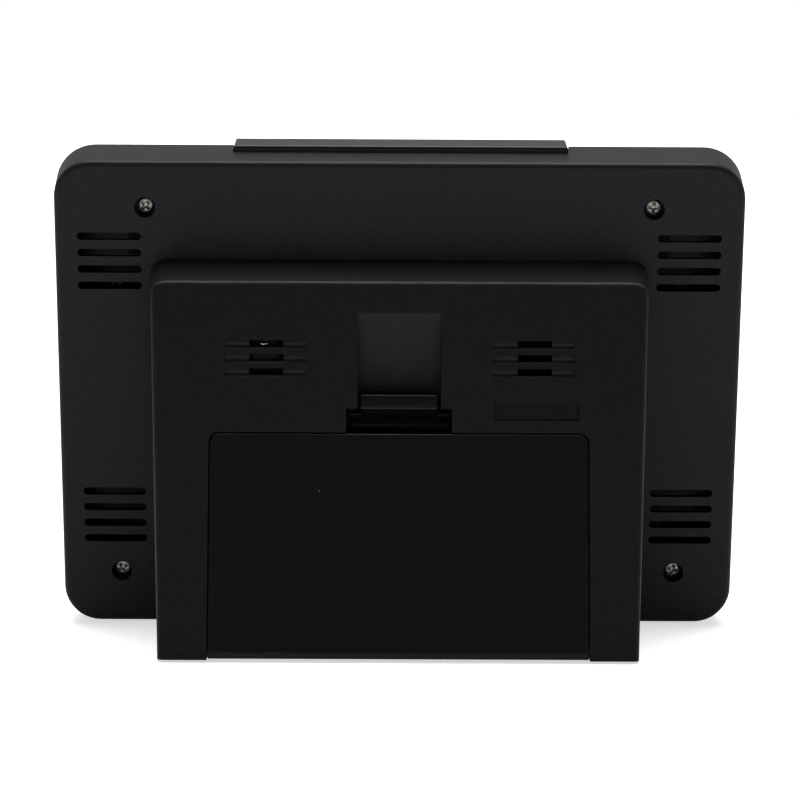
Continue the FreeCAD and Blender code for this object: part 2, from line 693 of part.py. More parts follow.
def make_boards():
    board = new_body("main_board", STAND)
    flat = new_sketch(board, "XZ_Plane", -BOARD_BACK)
    draw_rounded_box(flat, "130", "66", "2", PANEL_MIDDLE)
    for x, z in POST_SPOTS:
        draw_circle(flat, "1.2", str(x), str(z))
    grow(board, "Pad", flat, "1.6")
    stand_offs = [
        pillar(2.2, x, BOARD_BACK - 1.6, z, 4.0).cut(pillar(1.1, x, 0, z, 30)) for x, z in POST_SPOTS
    ]
    group("board_standoffs", stand_offs, STAND)
    small_screws("board_screws", POST_SPOTS, BOARD_BACK, 2.2, 1.0, 4.6)
    small_screws("plate_screws", PLATE_SPOTS, -14.7, 2.2, 1.0, 0.75)
    plain_box("main_chip", STAND, (-8, BOARD_BACK, 66), ("16", "1.3", "16"))
    plain_box("memory_chip", STAND, (18, BOARD_BACK, 68), ("18", "1.1", "9"))
    make_card_socket()
    ribbon = new_body("lcd_ribbon", STAND)
    side = new_sketch(ribbon, "YZ_Plane")
    thick = 0.3
    low = number(PANEL_MIDDLE) - size("panel_height") / 2
    outer, inner = low - 3.0, low - 3.0 + thick
    draw_outline(
        side,
        [
            (-17.0, low),
            (-17.0, outer),
            (-11.0, outer),
            (-11.0, low + 24.0),
            (-11.0 - thick, low + 24.0),
            (-11.0 - thick, inner),
            (-17.0 + thick, inner),
            (-17.0 + thick, low),
        ],
    )
    grow(ribbon, "Pad", side, "38", both=True)


def make_card_socket():
    """A memory card socket on its own little board, facing the slot in the case's side."""
    socket = new_body("card_socket", STAND)
    side = new_sketch(socket, "YZ_Plane", 73.0)
    draw_box(side, "3.2", "27", "-9.9", "75")
    grow(socket, "Pad", side, "27")
    mouth = new_sketch(socket, "YZ_Plane", 76.0)
    draw_box(mouth, "2.2", "24.2", "-9.9", "75")
    grow(socket, "Pocket", mouth, "30", reverse=True)
    plain_box("card_board", STAND, (66.5, -13.2, 60), ("34", "1.6", "30"))


# ---- press bar -------------------------------------------------------------------------


def make_press_bar():
    """A long bar whose rear half passes down into the case and spreads there into a flange."""
    front, back, step, top = size("bar_front"), size("bar_back"), size("bar_step"), size("bar_top")
    flange_top, flange_low, flange_back = 142.1, 140.1, 8.7
    under = size("notch_floor") + size("bar_travel") + 0.3
    body = new_body("press_bar", STAND.multiply(Placement(Vector(-size("bar_shift"), 0, 0), Rotation())))
    side = new_sketch(body, "YZ_Plane")
    draw_outline(
        side,
        [
            (-back, flange_top),
            (-back, top),
            (-front, top),
            (-front, under),
            (-step, under),
            (-step, flange_top),
        ],
    )
    grow(body, "Pad", side, "Sizes.bar_length", both=True)
    round_edges(body, "Sizes.bar_round", lambda e: e.BoundBox.ZMin > top - 0.01)
    flange = new_sketch(body, "XY_Plane", flange_low)
    draw_box(
        flange,
        "Sizes.bar_length - 2",
        f"Sizes.bar_step - {flange_back}",
        "0",
        f"-(Sizes.bar_step + {flange_back}) / 2",
    )
    grow(body, "Pad", flange, f"{flange_top - flange_low} + 0.2")
    plain_box("switch_board", STAND, (-45, -17.0, 134.3), ("90", "8.0", "1.2"))
    for i, x in enumerate((-28.0, 28.0), start=1):
        switch = new_body(f"bar_switch_{i}", STAND)
        case = new_sketch(switch, "XY_Plane", 135.5)
        draw_box(case, "6", "6", str(x), "-13")
        grow(switch, "Pad", case, "2.4")
        stem = new_sketch(switch, "XY_Plane", 137.0)
        draw_circle(stem, "1.6", str(x), "-13")
        grow(switch, "Pad", stem, "1.95")


# ---- battery door, latch and hinge -----------------------------------------------------


def make_battery_door():
    body = new_body("battery_door", ON_FACE)
    outward, up = hinge_axis()
    face = new_sketch(body, "XZ_Plane")
    width = "Sizes.opening_width - 2 * Sizes.door_gap"
    draw_rounded_box(
        face,
        width,
        f"Sizes.opening_top - Sizes.door_gap - {up - 4.0}",
        "Sizes.opening_corner - Sizes.door_gap",
        f"(Sizes.opening_top - Sizes.door_gap + {up - 4.0}) / 2",
    )
    grow(body, "Pad", face, "Sizes.door_thick")
    foot = new_sketch(body, "XZ_Plane", -1.0)
    draw_box(foot, "Sizes.opening_width + 2", "10", "0", f"{up - 5.0}")
    grow(body, "Pocket", foot, "10", reverse=True)
    round_edges(body, "Sizes.door_round", lambda e: abs(e.BoundBox.YMin) < 0.01
                and abs(e.BoundBox.YMax) < 0.01 and e.BoundBox.ZMax > 10)
    barrel = new_sketch(body, "YZ_Plane")
    draw_circle(barrel, "Sizes.barrel_radius", f"{outward}", f"{up}")
    grow(body, "Pad", barrel, width, both=True)
    pins = new_sketch(body, "YZ_Plane")
    draw_circle(pins, "Sizes.pin_radius", f"{outward}", f"{up}")
    grow(body, "Pad", pins, f"{width} + 2 * Sizes.pin_length", both=True)
    ribs = new_sketch(body, "XZ_Plane", size("door_thick") - 0.2)
    for x in ("-44", "-15", "15", "44"):
        draw_box(ribs, "1.0", "12", x, "34.5")
    grow(body, "Pad", ribs, "0.5")
    return body


def bend_centre():
    """The spring bend's centre as (outward, up): it joins the door's top to the lip's foot."""
    low = size("opening_top") - size("door_gap") - size("strap_thick")
    high = size("lip_bottom") - 0.6
    return -size("bend_depth"), (low + high) / 2, (high - low) / 2


def make_latch():
    """The U-shaped spring on the door, and the lip that a finger pulls down."""
    outward, up, radius = bend_centre()
    thick = size("strap_thick")
    knuckle = (outward, up + radius - thick / 2)
    spring = new_body("latch_spring", ON_FACE)
    side = new_sketch(spring, "YZ_Plane")
    centre = Vector(outward, up, 0)
    quarter = math.pi / 2
    for r in (radius, radius - thick):
        circle = Part.Circle(centre, Vector(0, 0, 1), r)
        side.addGeometry(Part.ArcOfCircle(circle, quarter, 3 * quarter), False)
    tail = -size("door_thick")
    runs = (
        ((outward, up - radius), (tail, up - radius)),
        ((tail, up - radius), (tail, up - radius + thick)),
        ((tail, up - radius + thick), (outward, up - radius + thick)),
        ((outward, up + radius - thick), (outward, up + radius)),
    )
    for a, b in runs:
        side.addGeometry(Part.LineSegment(Vector(*a, 0), Vector(*b, 0)), False)
    grow(spring, "Pad", side, "Sizes.strap_width", both=True)
    cup = new_sketch(spring, "YZ_Plane")
    draw_circle(cup, f"{thick / 2 + 0.15}", f"{knuckle[0]}", f"{knuckle[1]}")
    grow(spring, "Pocket", cup, "Sizes.strap_width + 2", both=True)

    lip = new_body("latch_lip", ON_FACE)
    leg = new_sketch(lip, "YZ_Plane")
    low, top = size("lip_bottom"), size("lip_top")
    front, back = -1.2, -3.2
    draw_outline(
        leg,
        [
            (knuckle[0], knuckle[1] - thick / 2),
            (back - 1.0, low),
            (front, low),
            (front, top),
            (back + 0.6, top),
            (back, low + 2.6),
            (back - 1.2, low + thick),
            (knuckle[0], knuckle[1] + thick / 2),
        ],
    )
    grow(lip, "Pad", leg, "Sizes.lip_width", both=True)
    round_edges(lip, "0.45", lambda e: abs(e.BoundBox.YMin - front) < 0.01
                and abs(e.BoundBox.YMax - front) < 0.01)
    end = new_sketch(lip, "YZ_Plane")
    draw_circle(end, f"{thick / 2}", f"{knuckle[0]}", f"{knuckle[1]}")
    grow(lip, "Pad", end, "Sizes.lip_width", both=True)


# ---- batteries -------------------------------------------------------------------------


def make_battery_tray():
    body = new_body("battery_tray", ON_FACE)
    wall, floor, top = size("tray_wall"), size("tray_floor"), size("tray_top")
    rim, step, step_up = -2.4, -4.6, 8.0

    def low_line(outward, lift=0.0):
        """The tray's sloping foot runs level with the floor."""
        return 3.4 + lift + (-outward - 2.4) * FLOOR_IN_FACE

    side = new_sketch(body, "YZ_Plane")
    back = -floor - wall
    draw_outline(
        side,
        [
            (step, low_line(step)),
            (step, step_up),
            (rim, step_up),
            (rim, top + wall),
            (back, top + wall),
            (back, low_line(back)),
        ],
    )
    grow(body, "Pad", side, "Sizes.tray_length + 2 * Sizes.tray_wall", both=True)
    flange = new_sketch(body, "XZ_Plane", -rim)
    upper = top + wall
    draw_box(flange, "Sizes.tray_length + 10", f"{upper - step_up}", "0", f"{(upper + step_up) / 2}")
    grow(body, "Pad", flange, "1.2")
    lift = wall / math.cos(math.radians(FACE_TILT - LEAN))
    hollow = new_sketch(body, "YZ_Plane")
    draw_outline(
        hollow,
        [(5.0, low_line(step, lift)), (5.0, top), (-floor, top), (-floor, low_line(-floor, lift)),
         (step, low_line(step, lift))],
    )
    grow(body, "Pocket", hollow, "Sizes.tray_length", both=True)
    rib = new_sketch(body, "XZ_Plane", floor - 4.0)
    draw_box(rib, "Sizes.tray_length", "0.9", "0", "Sizes.cell_low + Sizes.cell_pitch / 2 - 0.2")
    grow(body, "Pad", rib, "4.5")
    return body


def cell_places():
    """Each cell as (label, middle across, up, which way its nub points)."""
    for level, way in ((0, 1), (1, -1)):
        up = size("cell_low") + level * size("cell_pitch")
        for side in (-1, 1):
            middle = side * (size("cell_length") / 2 + 0.05) + way * size("cell_shift")
            yield level * 2 + (side + 3) // 2, middle, up, way


def make_cells():
    radius, length = size("cell_diameter") / 2, size("cell_length")
    nub_radius, nub = 3.75, 1.5
    for index, middle, up, way in cell_places():
        body = new_body(f"battery_cell_{index}", ON_FACE)
        half = new_sketch(body, "XZ_Plane")
        can = length - nub
        draw_outline(
            half,
            [
                (0, 0),
                (0, radius - 0.8),
                (0.8, radius),
                (can - 0.8, radius),
                (can, radius - 0.8),
                (can, nub_radius),
                (length, nub_radius),
                (length, 0),
            ],
        )
        turned = body.newObject("PartDesign::Revolution", f"{body.Name}_turned")
        turned.Profile = half
        turned.ReferenceAxis = (half, ["H_Axis"])
        turned.Angle = 360.0
        doc.recompute()
        place = Placement(
            Vector(middle - way * length / 2, -size("cell_depth"), up),
            Rotation(Vector(0, 0, 1), 0 if way > 0 else 180),
        )
        body.Placement = ON_FACE.multiply(place)


def make_contacts():
    """Sprung and flat contacts at the ends of each row of cells; the wire has eight flat sides."""
    end = size("tray_length") / 2
    thick = size("contact_thick")
    wire, coil_radius, turns, side_length = 0.45, 6.5, 2.5, 18.0
    room = end - thick - (size("cell_length") + 0.05 - size("cell_shift"))
    rise = room - 2 * wire - 0.15
    plates, springs = [], []
    for level, way in ((0, 1), (1, -1)):
        up = size("cell_low") + level * size("cell_pitch")
        for edge in (end - thick, -end):
            plate = Part.makeBox(thick, side_length, side_length)
            plate.translate(Vector(edge, -size("cell_depth") - side_length / 2, up - side_length / 2))
            plates.append(plate)
        helix = Part.makeHelix(rise / turns, rise, coil_radius)
        rim = [i * math.pi / 4 for i in range(9)]
        section = Part.makePolygon(
            [Vector(coil_radius + wire * math.cos(a), 0, wire * math.sin(a)) for a in rim]
        )
        coil = Part.Wire(helix).makePipeShell([section], True, True)
        start = -way * (end - thick - wire - 0.05)
        turn = Rotation(Vector(0, 1, 0), 90 * way)
        coil.Placement = Placement(Vector(start, -size("cell_depth"), up), turn)
        springs.append(coil)
    group("contact_plates", plates, ON_FACE)
    group("contact_springs", springs, ON_FACE)


# ---- speaker ---------------------------------------------------------------------------


def make_speaker():
    """A small round speaker behind one set of grooves."""
    middle_x, up = size("groove_offset"), size("groove_middle") + 2.6
    seat = -size("wall") - 0.05
    profiles = {
        "speaker_basket": [(14, 0), (14, -1.6), (10.5, -6.0), (8, -6.0), (8, -5.0), (10, -5.0), (12.4, -1.2),
                           (12.4, 0)],
        "speaker_cone": [(12.3, -0.6), (12.3, -1.0), (8.0, -4.2), (4.2, -3.4), (0, -2.4), (0, -1.9),
                         (4.2, -2.9), (8.0, -3.6)],
        "speaker_magnet": [(0, -6.1), (8.6, -6.1), (8.6, -10.5), (0, -10.5)],
    }
    for label, points in profiles.items():
        body = new_body(label, ON_FACE.multiply(Placement(Vector(middle_x, seat, up), Rotation())))
        half = new_sketch(body, "XY_Plane")
        draw_outline(half, points)
        turned = body.newObject("PartDesign::Revolution", f"{label}_turned")
        turned.Profile = half
        turned.ReferenceAxis = (half, ["V_Axis"])
        turned.Angle = 360.0
        doc.recompute()


# ---- fasteners and feet ----------------------------------------------------------------


def make_case_screws():
    """Four pan-head screws with cross recesses, at the bottoms of their wells."""
    seat = -size("well_depth")
    radius, tall = size("screw_head") / 2, size("screw_head_height")
    shapes = []
    for x, z in screw_places():
        x, z = number(x), number(z)
        head = pillar(radius, x, seat + tall, z, tall)
        rim = [e for e in head.Edges if level_y(seat + tall)(e)]
        head = head.makeFillet(tall * 0.55, rim)
        screw = head.fuse(pillar(size("screw_core") / 2, x, seat + 0.01, z, size("screw_length")))
        for wide, high in ((2.6, 0.7), (0.7, 2.6)):
            slot = Part.makeBox(wide, 1.4, high)
            slot.translate(Vector(x - wide / 2, seat + tall - 1.0, z - high / 2))
            screw = screw.cut(slot)
        shapes.append(screw)
    group("case_screws", shapes, STAND)


def make_feet():
    """Two rubber strips across the stand's underside."""
    on_floor = Placement(Vector(0, -HALF_FLOOR_DEPTH, 0), Rotation())
    length, width = size("foot_length"), size("foot_width")
    depth = math.hypot(size("hump_reach"), size("hump_lift"))
    for label, near in (("foot_strip_front", 4.0), ("foot_strip_rear", depth - 7.0 - width)):
        plain_box(
            label,
            on_floor,
            (-length / 2, near, 0.0),
            ("Sizes.foot_length", "Sizes.foot_width", "Sizes.foot_height"),
        )


# ---- the whole object ------------------------------------------------------------------


def check_and_export():
    doc.recompute()
    for thing in doc.Objects:
        if "Invalid" in thing.State or "Error" in thing.State:
            raise RuntimeError(f"{thing.Label} failed: {thing.State}")
    os.makedirs("parts", exist_ok=True)
    for piece in pieces:
        if piece.Shape.isNull() or not piece.Shape.isValid():
            raise RuntimeError(f"{piece.Label} has no valid shape")
        piece.Shape.exportStep(f"parts/{piece.Label}.step")


make_rear_case()
make_front_bezel()
make_display()
make_boards()
make_press_bar()
make_battery_door()
make_latch()
make_battery_tray()
make_cells()
make_contacts()
make_speaker()
make_case_screws()
make_feet()
check_and_export()
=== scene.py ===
"""Looks for a free-standing digital display frame: its finishes, fine parts, light and camera."""

import json
import math

import bpy
import numpy as np
from bpy.props import FloatProperty, FloatVectorProperty, PointerProperty
from mathutils import Matrix, Vector


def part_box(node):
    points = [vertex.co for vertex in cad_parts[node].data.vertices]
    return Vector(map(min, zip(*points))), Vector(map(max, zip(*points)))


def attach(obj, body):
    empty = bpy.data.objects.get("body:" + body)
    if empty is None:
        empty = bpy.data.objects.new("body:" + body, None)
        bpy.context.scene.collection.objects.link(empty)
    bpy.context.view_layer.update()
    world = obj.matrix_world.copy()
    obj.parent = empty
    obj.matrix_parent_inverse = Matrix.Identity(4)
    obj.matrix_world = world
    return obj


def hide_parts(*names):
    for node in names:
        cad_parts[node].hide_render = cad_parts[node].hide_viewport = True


bl_info = {
    "name": "Display Frame",
    "version": (1, 0, 0),
    "blender": (4, 5, 0),
    "location": "View3D > Sidebar > Display Frame",
    "description": "Finishes and fine parts of a battery-powered display frame",
    "category": "Object",
}

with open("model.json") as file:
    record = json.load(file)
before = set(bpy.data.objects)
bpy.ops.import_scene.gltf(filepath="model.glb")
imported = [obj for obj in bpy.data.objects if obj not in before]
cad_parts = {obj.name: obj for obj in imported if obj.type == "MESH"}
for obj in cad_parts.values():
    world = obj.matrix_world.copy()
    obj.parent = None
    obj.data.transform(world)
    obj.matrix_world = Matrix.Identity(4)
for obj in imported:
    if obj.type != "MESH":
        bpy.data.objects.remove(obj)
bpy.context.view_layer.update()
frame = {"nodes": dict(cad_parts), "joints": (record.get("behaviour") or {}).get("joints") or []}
NODES = frame["nodes"]
JOINTS = {joint["name"]: joint for joint in frame["joints"]}
PRESS = JOINTS["bar_press"]["axis"]
CASE_LEAN = -math.atan2(-PRESS[1], -PRESS[2])
MM = 0.001
BEAD_PLACE = np.array([39.7, 39.17, 84.67]) * MM  # in axes that lie in the stand's rear face


# ---- sizes and colours -----------------------------------------------------------------


def length(name, description, default):
    return FloatProperty(name=name, description=description, default=default, unit="LENGTH", precision=5)


def angle(name, description, degrees):
    return FloatProperty(
        name=name, description=description, default=math.radians(degrees), subtype="ANGLE"
    )


def colour(name, description, default):
    return FloatVectorProperty(
        name=name, description=description, default=default, subtype="COLOR", size=3, min=0.0, max=1.0
    )


class FrameSizes(bpy.types.PropertyGroup):
    face_slope: angle("Face slope", "How far the stand's rear face leans forward from upright", 11.14)
    recess_depth: length("Cross recess", "Depth of the cross in a case screw's head", 1.1 * MM)
    screw_head: length("Screw head", "Height of a case screw's head", 1.75 * MM)
    thread_pitch: length("Thread pitch", "Pitch of the case screws' thread", 0.9 * MM)
    wire: length("Spring wire", "Wire radius of the battery springs", 0.45 * MM)
    crimp: length("Crimp", "Rolled edge at the ends of a cell", 0.9 * MM)
    lip_round: length("Lip rounding", "Rounding at the ends of the latch lip", 0.9 * MM)
    print_side: length("Side print", "Printed border of the lens over the panel's sides", 5.5 * MM)
    print_level: length("Level print", "Printed border over the panel's top and bottom", 9.5 * MM)
    bead_wide: length("Bead width", "Half the width of the lead's solder bead", 1.25 * MM)
    bead_tall: length("Bead height", "Half the height of the lead's solder bead", 0.62 * MM)
    bead_proud: length("Bead rise", "How far the solder bead stands out", 0.75 * MM)


class FrameColours(bpy.types.PropertyGroup):
    case: colour("Case", "Textured plastic of the rear case", (0.0086, 0.0090, 0.0104))
    door: colour("Door", "Plastic of the battery door", (0.0046, 0.0051, 0.0064))
    bezel: colour("Bezel", "Satin plastic round the display", (0.004, 0.004, 0.0045))
    dust: colour("Dust", "Settled dust and lint", (0.10, 0.10, 0.095))
    sleeve: colour("Cell sleeve", "Sleeve of the battery cells", (0.115, 0.135, 0.150))
    band: colour("Cell band", "Two thin rings round a cell's sleeve", (0.52, 0.54, 0.55))
    nickel: colour("Nickel", "Plated springs, contacts and stand-offs", (0.56, 0.53, 0.49))
    screw: colour("Screw nickel", "Duller nickel of the case screws", (0.30, 0.28, 0.255))
    solder: colour("Solder", "Bead on the speaker's lead", (0.80, 0.76, 0.68))
    steel: colour("Zinc", "Zinc-plated basket of the speaker", (0.50, 0.47, 0.42))
    sheet: colour("Sheet", "Bare sheet metal of the card socket", (0.55, 0.55, 0.55))
    ends: colour("Cell ends", "Steel ends of the battery cells", (0.62, 0.60, 0.57))
    paper: colour("Cone paper", "Speaker cone", (0.012, 0.012, 0.012))
    cap: colour("Dust cap", "Dome in the middle of the cone", (0.016, 0.012, 0.009))
    chip: colour("Chip resin", "Chips and switches", (0.012, 0.012, 0.012))
    film: colour("Ribbon film", "Ribbon of the panel", (0.35, 0.16, 0.03))
    # Painted shade: the panel's back plate is coloured near black to stand for the shade inside the case,
    # where it shows through the vents
    plate: colour("Painted shade plate", "Back plate of the panel", (0.004, 0.004, 0.004))
    board: colour("Solder mask", "Circuit boards", (0.010, 0.070, 0.028))
    floor: colour("Floor", "The surface underneath", (0.90, 0.90, 0.90))


class FrameStudio(bpy.types.PropertyGroup):
    distance: length("Distance", "Camera to the middle of the case", 0.84327)
    height: length("Aim height", "Height that the camera looks at", 0.07134)
    aside: length("Aim aside", "How far to one side of the middle it looks", 0.4 * MM)
    foot: length("Case foot", "How far the case's foot is in front of the middle", 18.9 * MM)
    elevation: angle("Elevation", "Camera above level", 6.02)
    swing: angle("Swing", "Camera to the side of straight behind", 0.29)
    roll: angle("Roll", "Turn of the camera about its view", 0.28)
    focal: FloatProperty(name="Focal length", description="Lens, in millimetres", default=124.96)
    far_wall: FloatProperty(name="Far wall", description="Light from the display's side", default=0.48)
    near_wall: FloatProperty(name="Near wall", description="Light from the door's side", default=0.05)
    ceiling: FloatProperty(name="Ceiling", description="Light from above", default=8.0)
    ahead: angle("Ceiling tilt", "How far towards the display's side the ceiling's light is centred", 9.0)
    sides: FloatProperty(name="Sides", description="Light from the left and right", default=0.15)
    glow: FloatProperty(name="Floor glow", description="Light the floor shows the camera", default=0.62)
    bounce: FloatProperty(name="Floor bounce", description="Light it gives the object", default=0.20)


# ---- node helpers ----------------------------------------------------------------------


def link(tree, source, target):
    tree.links.new(source, target)


def node(tree, kind, **values):
    """A shader node; the values are its properties, or its inputs by name."""
    made = tree.nodes.new(kind)
    for key, value in values.items():
        if hasattr(made, key):
            setattr(made, key, value)
        else:
            made.inputs[key.replace("_", " ")].default_value = value
    return made


def ramp(tree, low, high, source, bottom=0.0, top=1.0):
    """A smooth step: bottom where the source is under low, top where it is over high."""
    made = node(tree, "ShaderNodeMapRange", interpolation_type="SMOOTHSTEP")
    for index, value in ((1, low), (2, high), (3, bottom), (4, top)):
        made.inputs[index].default_value = value
    link(tree, source, made.inputs[0])
    return made.outputs[0]


def start_group(name, inputs, outputs):
    """An empty shader group with float inputs as {name: default} and outputs by name."""
    group = bpy.data.node_groups.new(name, "ShaderNodeTree")
    for key, value in inputs.items():
        socket = group.interface.new_socket(key, in_out="INPUT", socket_type="NodeSocketFloat")
        socket.default_value = value
    for key in outputs:
        group.interface.new_socket(key, in_out="OUTPUT", socket_type="NodeSocketFloat")
    return group, node(group, "NodeGroupInput"), node(group, "NodeGroupOutput")


def scaled_noise(tree, coordinates, size, detail=2.0, rough=0.5):
    """Noise on object coordinates whose features are about one over size across."""
    made = node(tree, "ShaderNodeTexNoise", Detail=detail, Roughness=rough)
    link(tree, coordinates, made.inputs["Vector"])
    if isinstance(size, float):
        made.inputs["Scale"].default_value = size
    else:
        link(tree, size, made.inputs["Scale"])
    return made.outputs["Fac"]


def moulded_skin_group():
    """Spark-eroded mould texture: a fine grain for bump, and patches of more and less shine."""
    group, inside, out = start_group(
        "Moulded Skin", {"Grain": 2600.0, "Shine": 0.45, "Patch": 0.08}, ("Height", "Roughness")
    )
    where = node(group, "ShaderNodeTexCoord").outputs["Object"]
    fine = scaled_noise(group, where, inside.outputs["Grain"], 3.0, 0.6)
    link(group, fine, out.inputs["Height"])
    broad = scaled_noise(group, where, 38.0, 3.0, 0.55)
    middle = node(group, "ShaderNodeMath", operation="SUBTRACT")
    link(group, broad, middle.inputs[0])
    middle.inputs[1].default_value = 0.5
    swing = node(group, "ShaderNodeMath", operation="MULTIPLY_ADD")
    link(group, middle.outputs[0], swing.inputs[0])
    link(group, inside.outputs["Patch"], swing.inputs[1])
    link(group, inside.outputs["Shine"], swing.inputs[2])
    link(group, swing.outputs[0], out.inputs["Roughness"])
    return group


def settled_dust_group():
    """Sparse specks: cells of a Voronoi pattern, few of them filled, each a small round dot."""
    group, inside, out = start_group("Settled Dust", {"Density": 0.03, "Pitch": 260.0}, ("Mask",))
    where = node(group, "ShaderNodeTexCoord").outputs["Object"]
    cells = node(group, "ShaderNodeTexVoronoi", feature="F1")
    link(group, where, cells.inputs["Vector"])
    link(group, inside.outputs["Pitch"], cells.inputs["Scale"])
    dot = ramp(group, 0.035, 0.075, cells.outputs["Distance"], 1.0, 0.0)
    split = node(group, "ShaderNodeSeparateColor")
    link(group, cells.outputs["Color"], split.inputs[0])
    chosen = node(group, "ShaderNodeMath", operation="LESS_THAN")
    link(group, split.outputs[0], chosen.inputs[0])
    link(group, inside.outputs["Density"], chosen.inputs[1])
    both = node(group, "ShaderNodeMath", operation="MULTIPLY")
    link(group, dot, both.inputs[0])
    link(group, chosen.outputs[0], both.inputs[1])
    link(group, both.outputs[0], out.inputs["Mask"])
    return group


def start_material(name):
    """A material with an empty tree but for its shader and output."""
    made = bpy.data.materials.new(name)
    made.use_nodes = True
    tree = made.node_tree
    return made, tree, tree.nodes["Principled BSDF"]


def use_group(tree, name, **values):
    made = tree.nodes.new("ShaderNodeGroup")
    made.node_tree = bpy.data.node_groups[name]
    for key, value in values.items():
        made.inputs[key].default_value = value
    return made


def bump(tree, shader, height, strength, distance):
    made = node(tree, "ShaderNodeBump", Strength=strength, Distance=distance)
    link(tree, height, made.inputs["Height"])
    link(tree, made.outputs["Normal"], shader.inputs["Normal"])


def mix_colour(tree, factor, first, second):
    """first where the factor is 0, second where it is 1; each a colour or a socket."""
    made = node(tree, "ShaderNodeMix", data_type="RGBA")
    link(tree, factor, made.inputs["Factor"])
    for socket, value in ((made.inputs[6], first), (made.inputs[7], second)):
        if isinstance(value, bpy.types.NodeSocket):
            link(tree, value, socket)
        else:
            socket.default_value = (*value, 1.0)
    return made.outputs[2]


def moulded_plastic(name, tint, shine, grain, depth, patch=0.08, density=0.03, level=0.2):
    """Textured plastic with uneven shine, a faint mottle and sparse specks of dust."""
    made, tree, shader = start_material(name)
    colours = bpy.context.scene.frame_colours
    skin = use_group(tree, "Moulded Skin", Grain=grain, Shine=shine, Patch=patch)
    link(tree, skin.outputs["Roughness"], shader.inputs["Roughness"])
    bump(tree, shader, skin.outputs["Height"], 1.0, depth)
    where = node(tree, "ShaderNodeTexCoord").outputs["Object"]
    mottle = ramp(tree, 0.3, 0.7, scaled_noise(tree, where, 900.0, 2.0))
    plain = mix_colour(tree, mottle, [c * 0.82 for c in tint], [c * 1.18 for c in tint])
    dust = use_group(tree, "Settled Dust", Density=density)
    link(tree, mix_colour(tree, dust.outputs["Mask"], plain, colours.dust), shader.inputs["Base Color"])
    shader.inputs["Specular IOR Level"].default_value = level
    return made


def plated_metal(name, tint, shine, scratch=4000.0):
    """Plated or bare metal with fine directionless scratches."""
    made, tree, shader = start_material(name)
    shader.inputs["Metallic"].default_value = 1.0
    where = node(tree, "ShaderNodeTexCoord").outputs["Object"]
    grain = scaled_noise(tree, where, scratch, 4.0, 0.7)
    link(tree, ramp(tree, 0.25, 0.75, grain, shine - 0.08, shine + 0.12), shader.inputs["Roughness"])
    tarnish = ramp(tree, 0.4, 0.75, scaled_noise(tree, where, 500.0))
    dull = [c * 0.72 for c in tint]
    link(tree, mix_colour(tree, tarnish, tint, dull), shader.inputs["Base Color"])
    bump(tree, shader, grain, 0.25, 0.00002)
    return made


# ---- mesh helpers ----------------------------------------------------------------------


def turned(points, radians):
    """Points turned about the X axis."""
    c, s = math.cos(radians), math.sin(radians)
    return points @ np.array([[1, 0, 0], [0, c, s], [0, -s, c]])


def node_points(name, radians):
    """A CAD node's vertices, in a frame that is turned about X by so much."""
    mesh = NODES[name].data
    co = np.empty(len(mesh.vertices) * 3, np.float32)
    mesh.vertices.foreach_get("co", co)
    return turned(co.reshape(-1, 3).astype(float), -radians)


def grid_faces(rows, columns, wrap):
    """Quads over a grid of points; wrap joins the last column to the first."""
    across = np.arange(columns if wrap else columns - 1)
    down = np.arange(rows - 1)[:, None]
    nxt = (across + 1) % columns
    a, b = down * columns + across, down * columns + nxt
    return np.stack([a, b, b + columns, a + columns], -1).reshape(-1, 4)


def closed_tube(rings, start, end):
    """Vertices and faces of rings of points, shut at both ends by fans to two middle points."""
    rows, columns, _ = rings.shape
    points = np.vstack([rings.reshape(-1, 3), start, end])
    faces = grid_faces(rows, columns, True).tolist()
    ring = np.arange(columns)
    nxt = (ring + 1) % columns
    first, last = rows * columns, rows * columns + 1
    base = (rows - 1) * columns
    faces += np.stack([nxt, ring, np.full(columns, first)], -1).tolist()
    faces += np.stack([base + ring, base + nxt, np.full(columns, last)], -1).tolist()
    return points, faces


def new_piece(name, points, faces, materials, body, nodes):
    """A smooth mesh piece in its place, riding on a body and standing for CAD nodes, if any."""
    mesh = bpy.data.meshes.new(name)
    mesh.from_pydata(points.tolist(), [], faces)
    mesh.validate()
    mesh.polygons.foreach_set("use_smooth", np.ones(len(mesh.polygons), bool))
    for made in materials:
        mesh.materials.append(made)
    piece = bpy.data.objects.new(name, mesh)
    bpy.context.collection.objects.link(piece)
    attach(piece, body)
    if nodes:
        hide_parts(*nodes)
    return piece


def lathe(radii, along, count):
    """Rings for a profile turned about the +Z axis: radius as a function of distance along it."""
    spin = np.linspace(0.0, 2 * math.pi, count, endpoint=False)
    ring = np.stack([np.cos(spin), np.sin(spin)], -1)
    flat = radii[:, None, None] * ring[None]
    high = np.broadcast_to(along[:, None, None], (len(radii), count, 1))
    return np.concatenate([flat, high], -1)


def rounded_profile(corners, reach, steps):
    """An open profile through corners. Each inner corner becomes a curve with two control ends,
    a reach away along its two sides or a little short of their middles."""
    corners = np.asarray(corners, float)
    out = [corners[0]]
    t = np.linspace(0, 1, steps)[:, None]
    for i in range(1, len(corners) - 1):
        here = corners[i]
        before, after = corners[i - 1] - here, corners[i + 1] - here
        lb, la = np.linalg.norm(before), np.linalg.norm(after)
        cut = min(reach, 0.49 * lb, 0.49 * la)
        a, b = here + before / lb * cut, here + after / la * cut
        out.extend((1 - t) ** 2 * a + 2 * t * (1 - t) * here + t**2 * b)
    out.append(corners[-1])
    return np.array(out)


# ---- pieces ----------------------------------------------------------------------------


def dress(name, material):
    """Give a carried-over CAD node its material."""
    mesh = NODES[name].data
    mesh.materials.clear()
    mesh.materials.append(material)


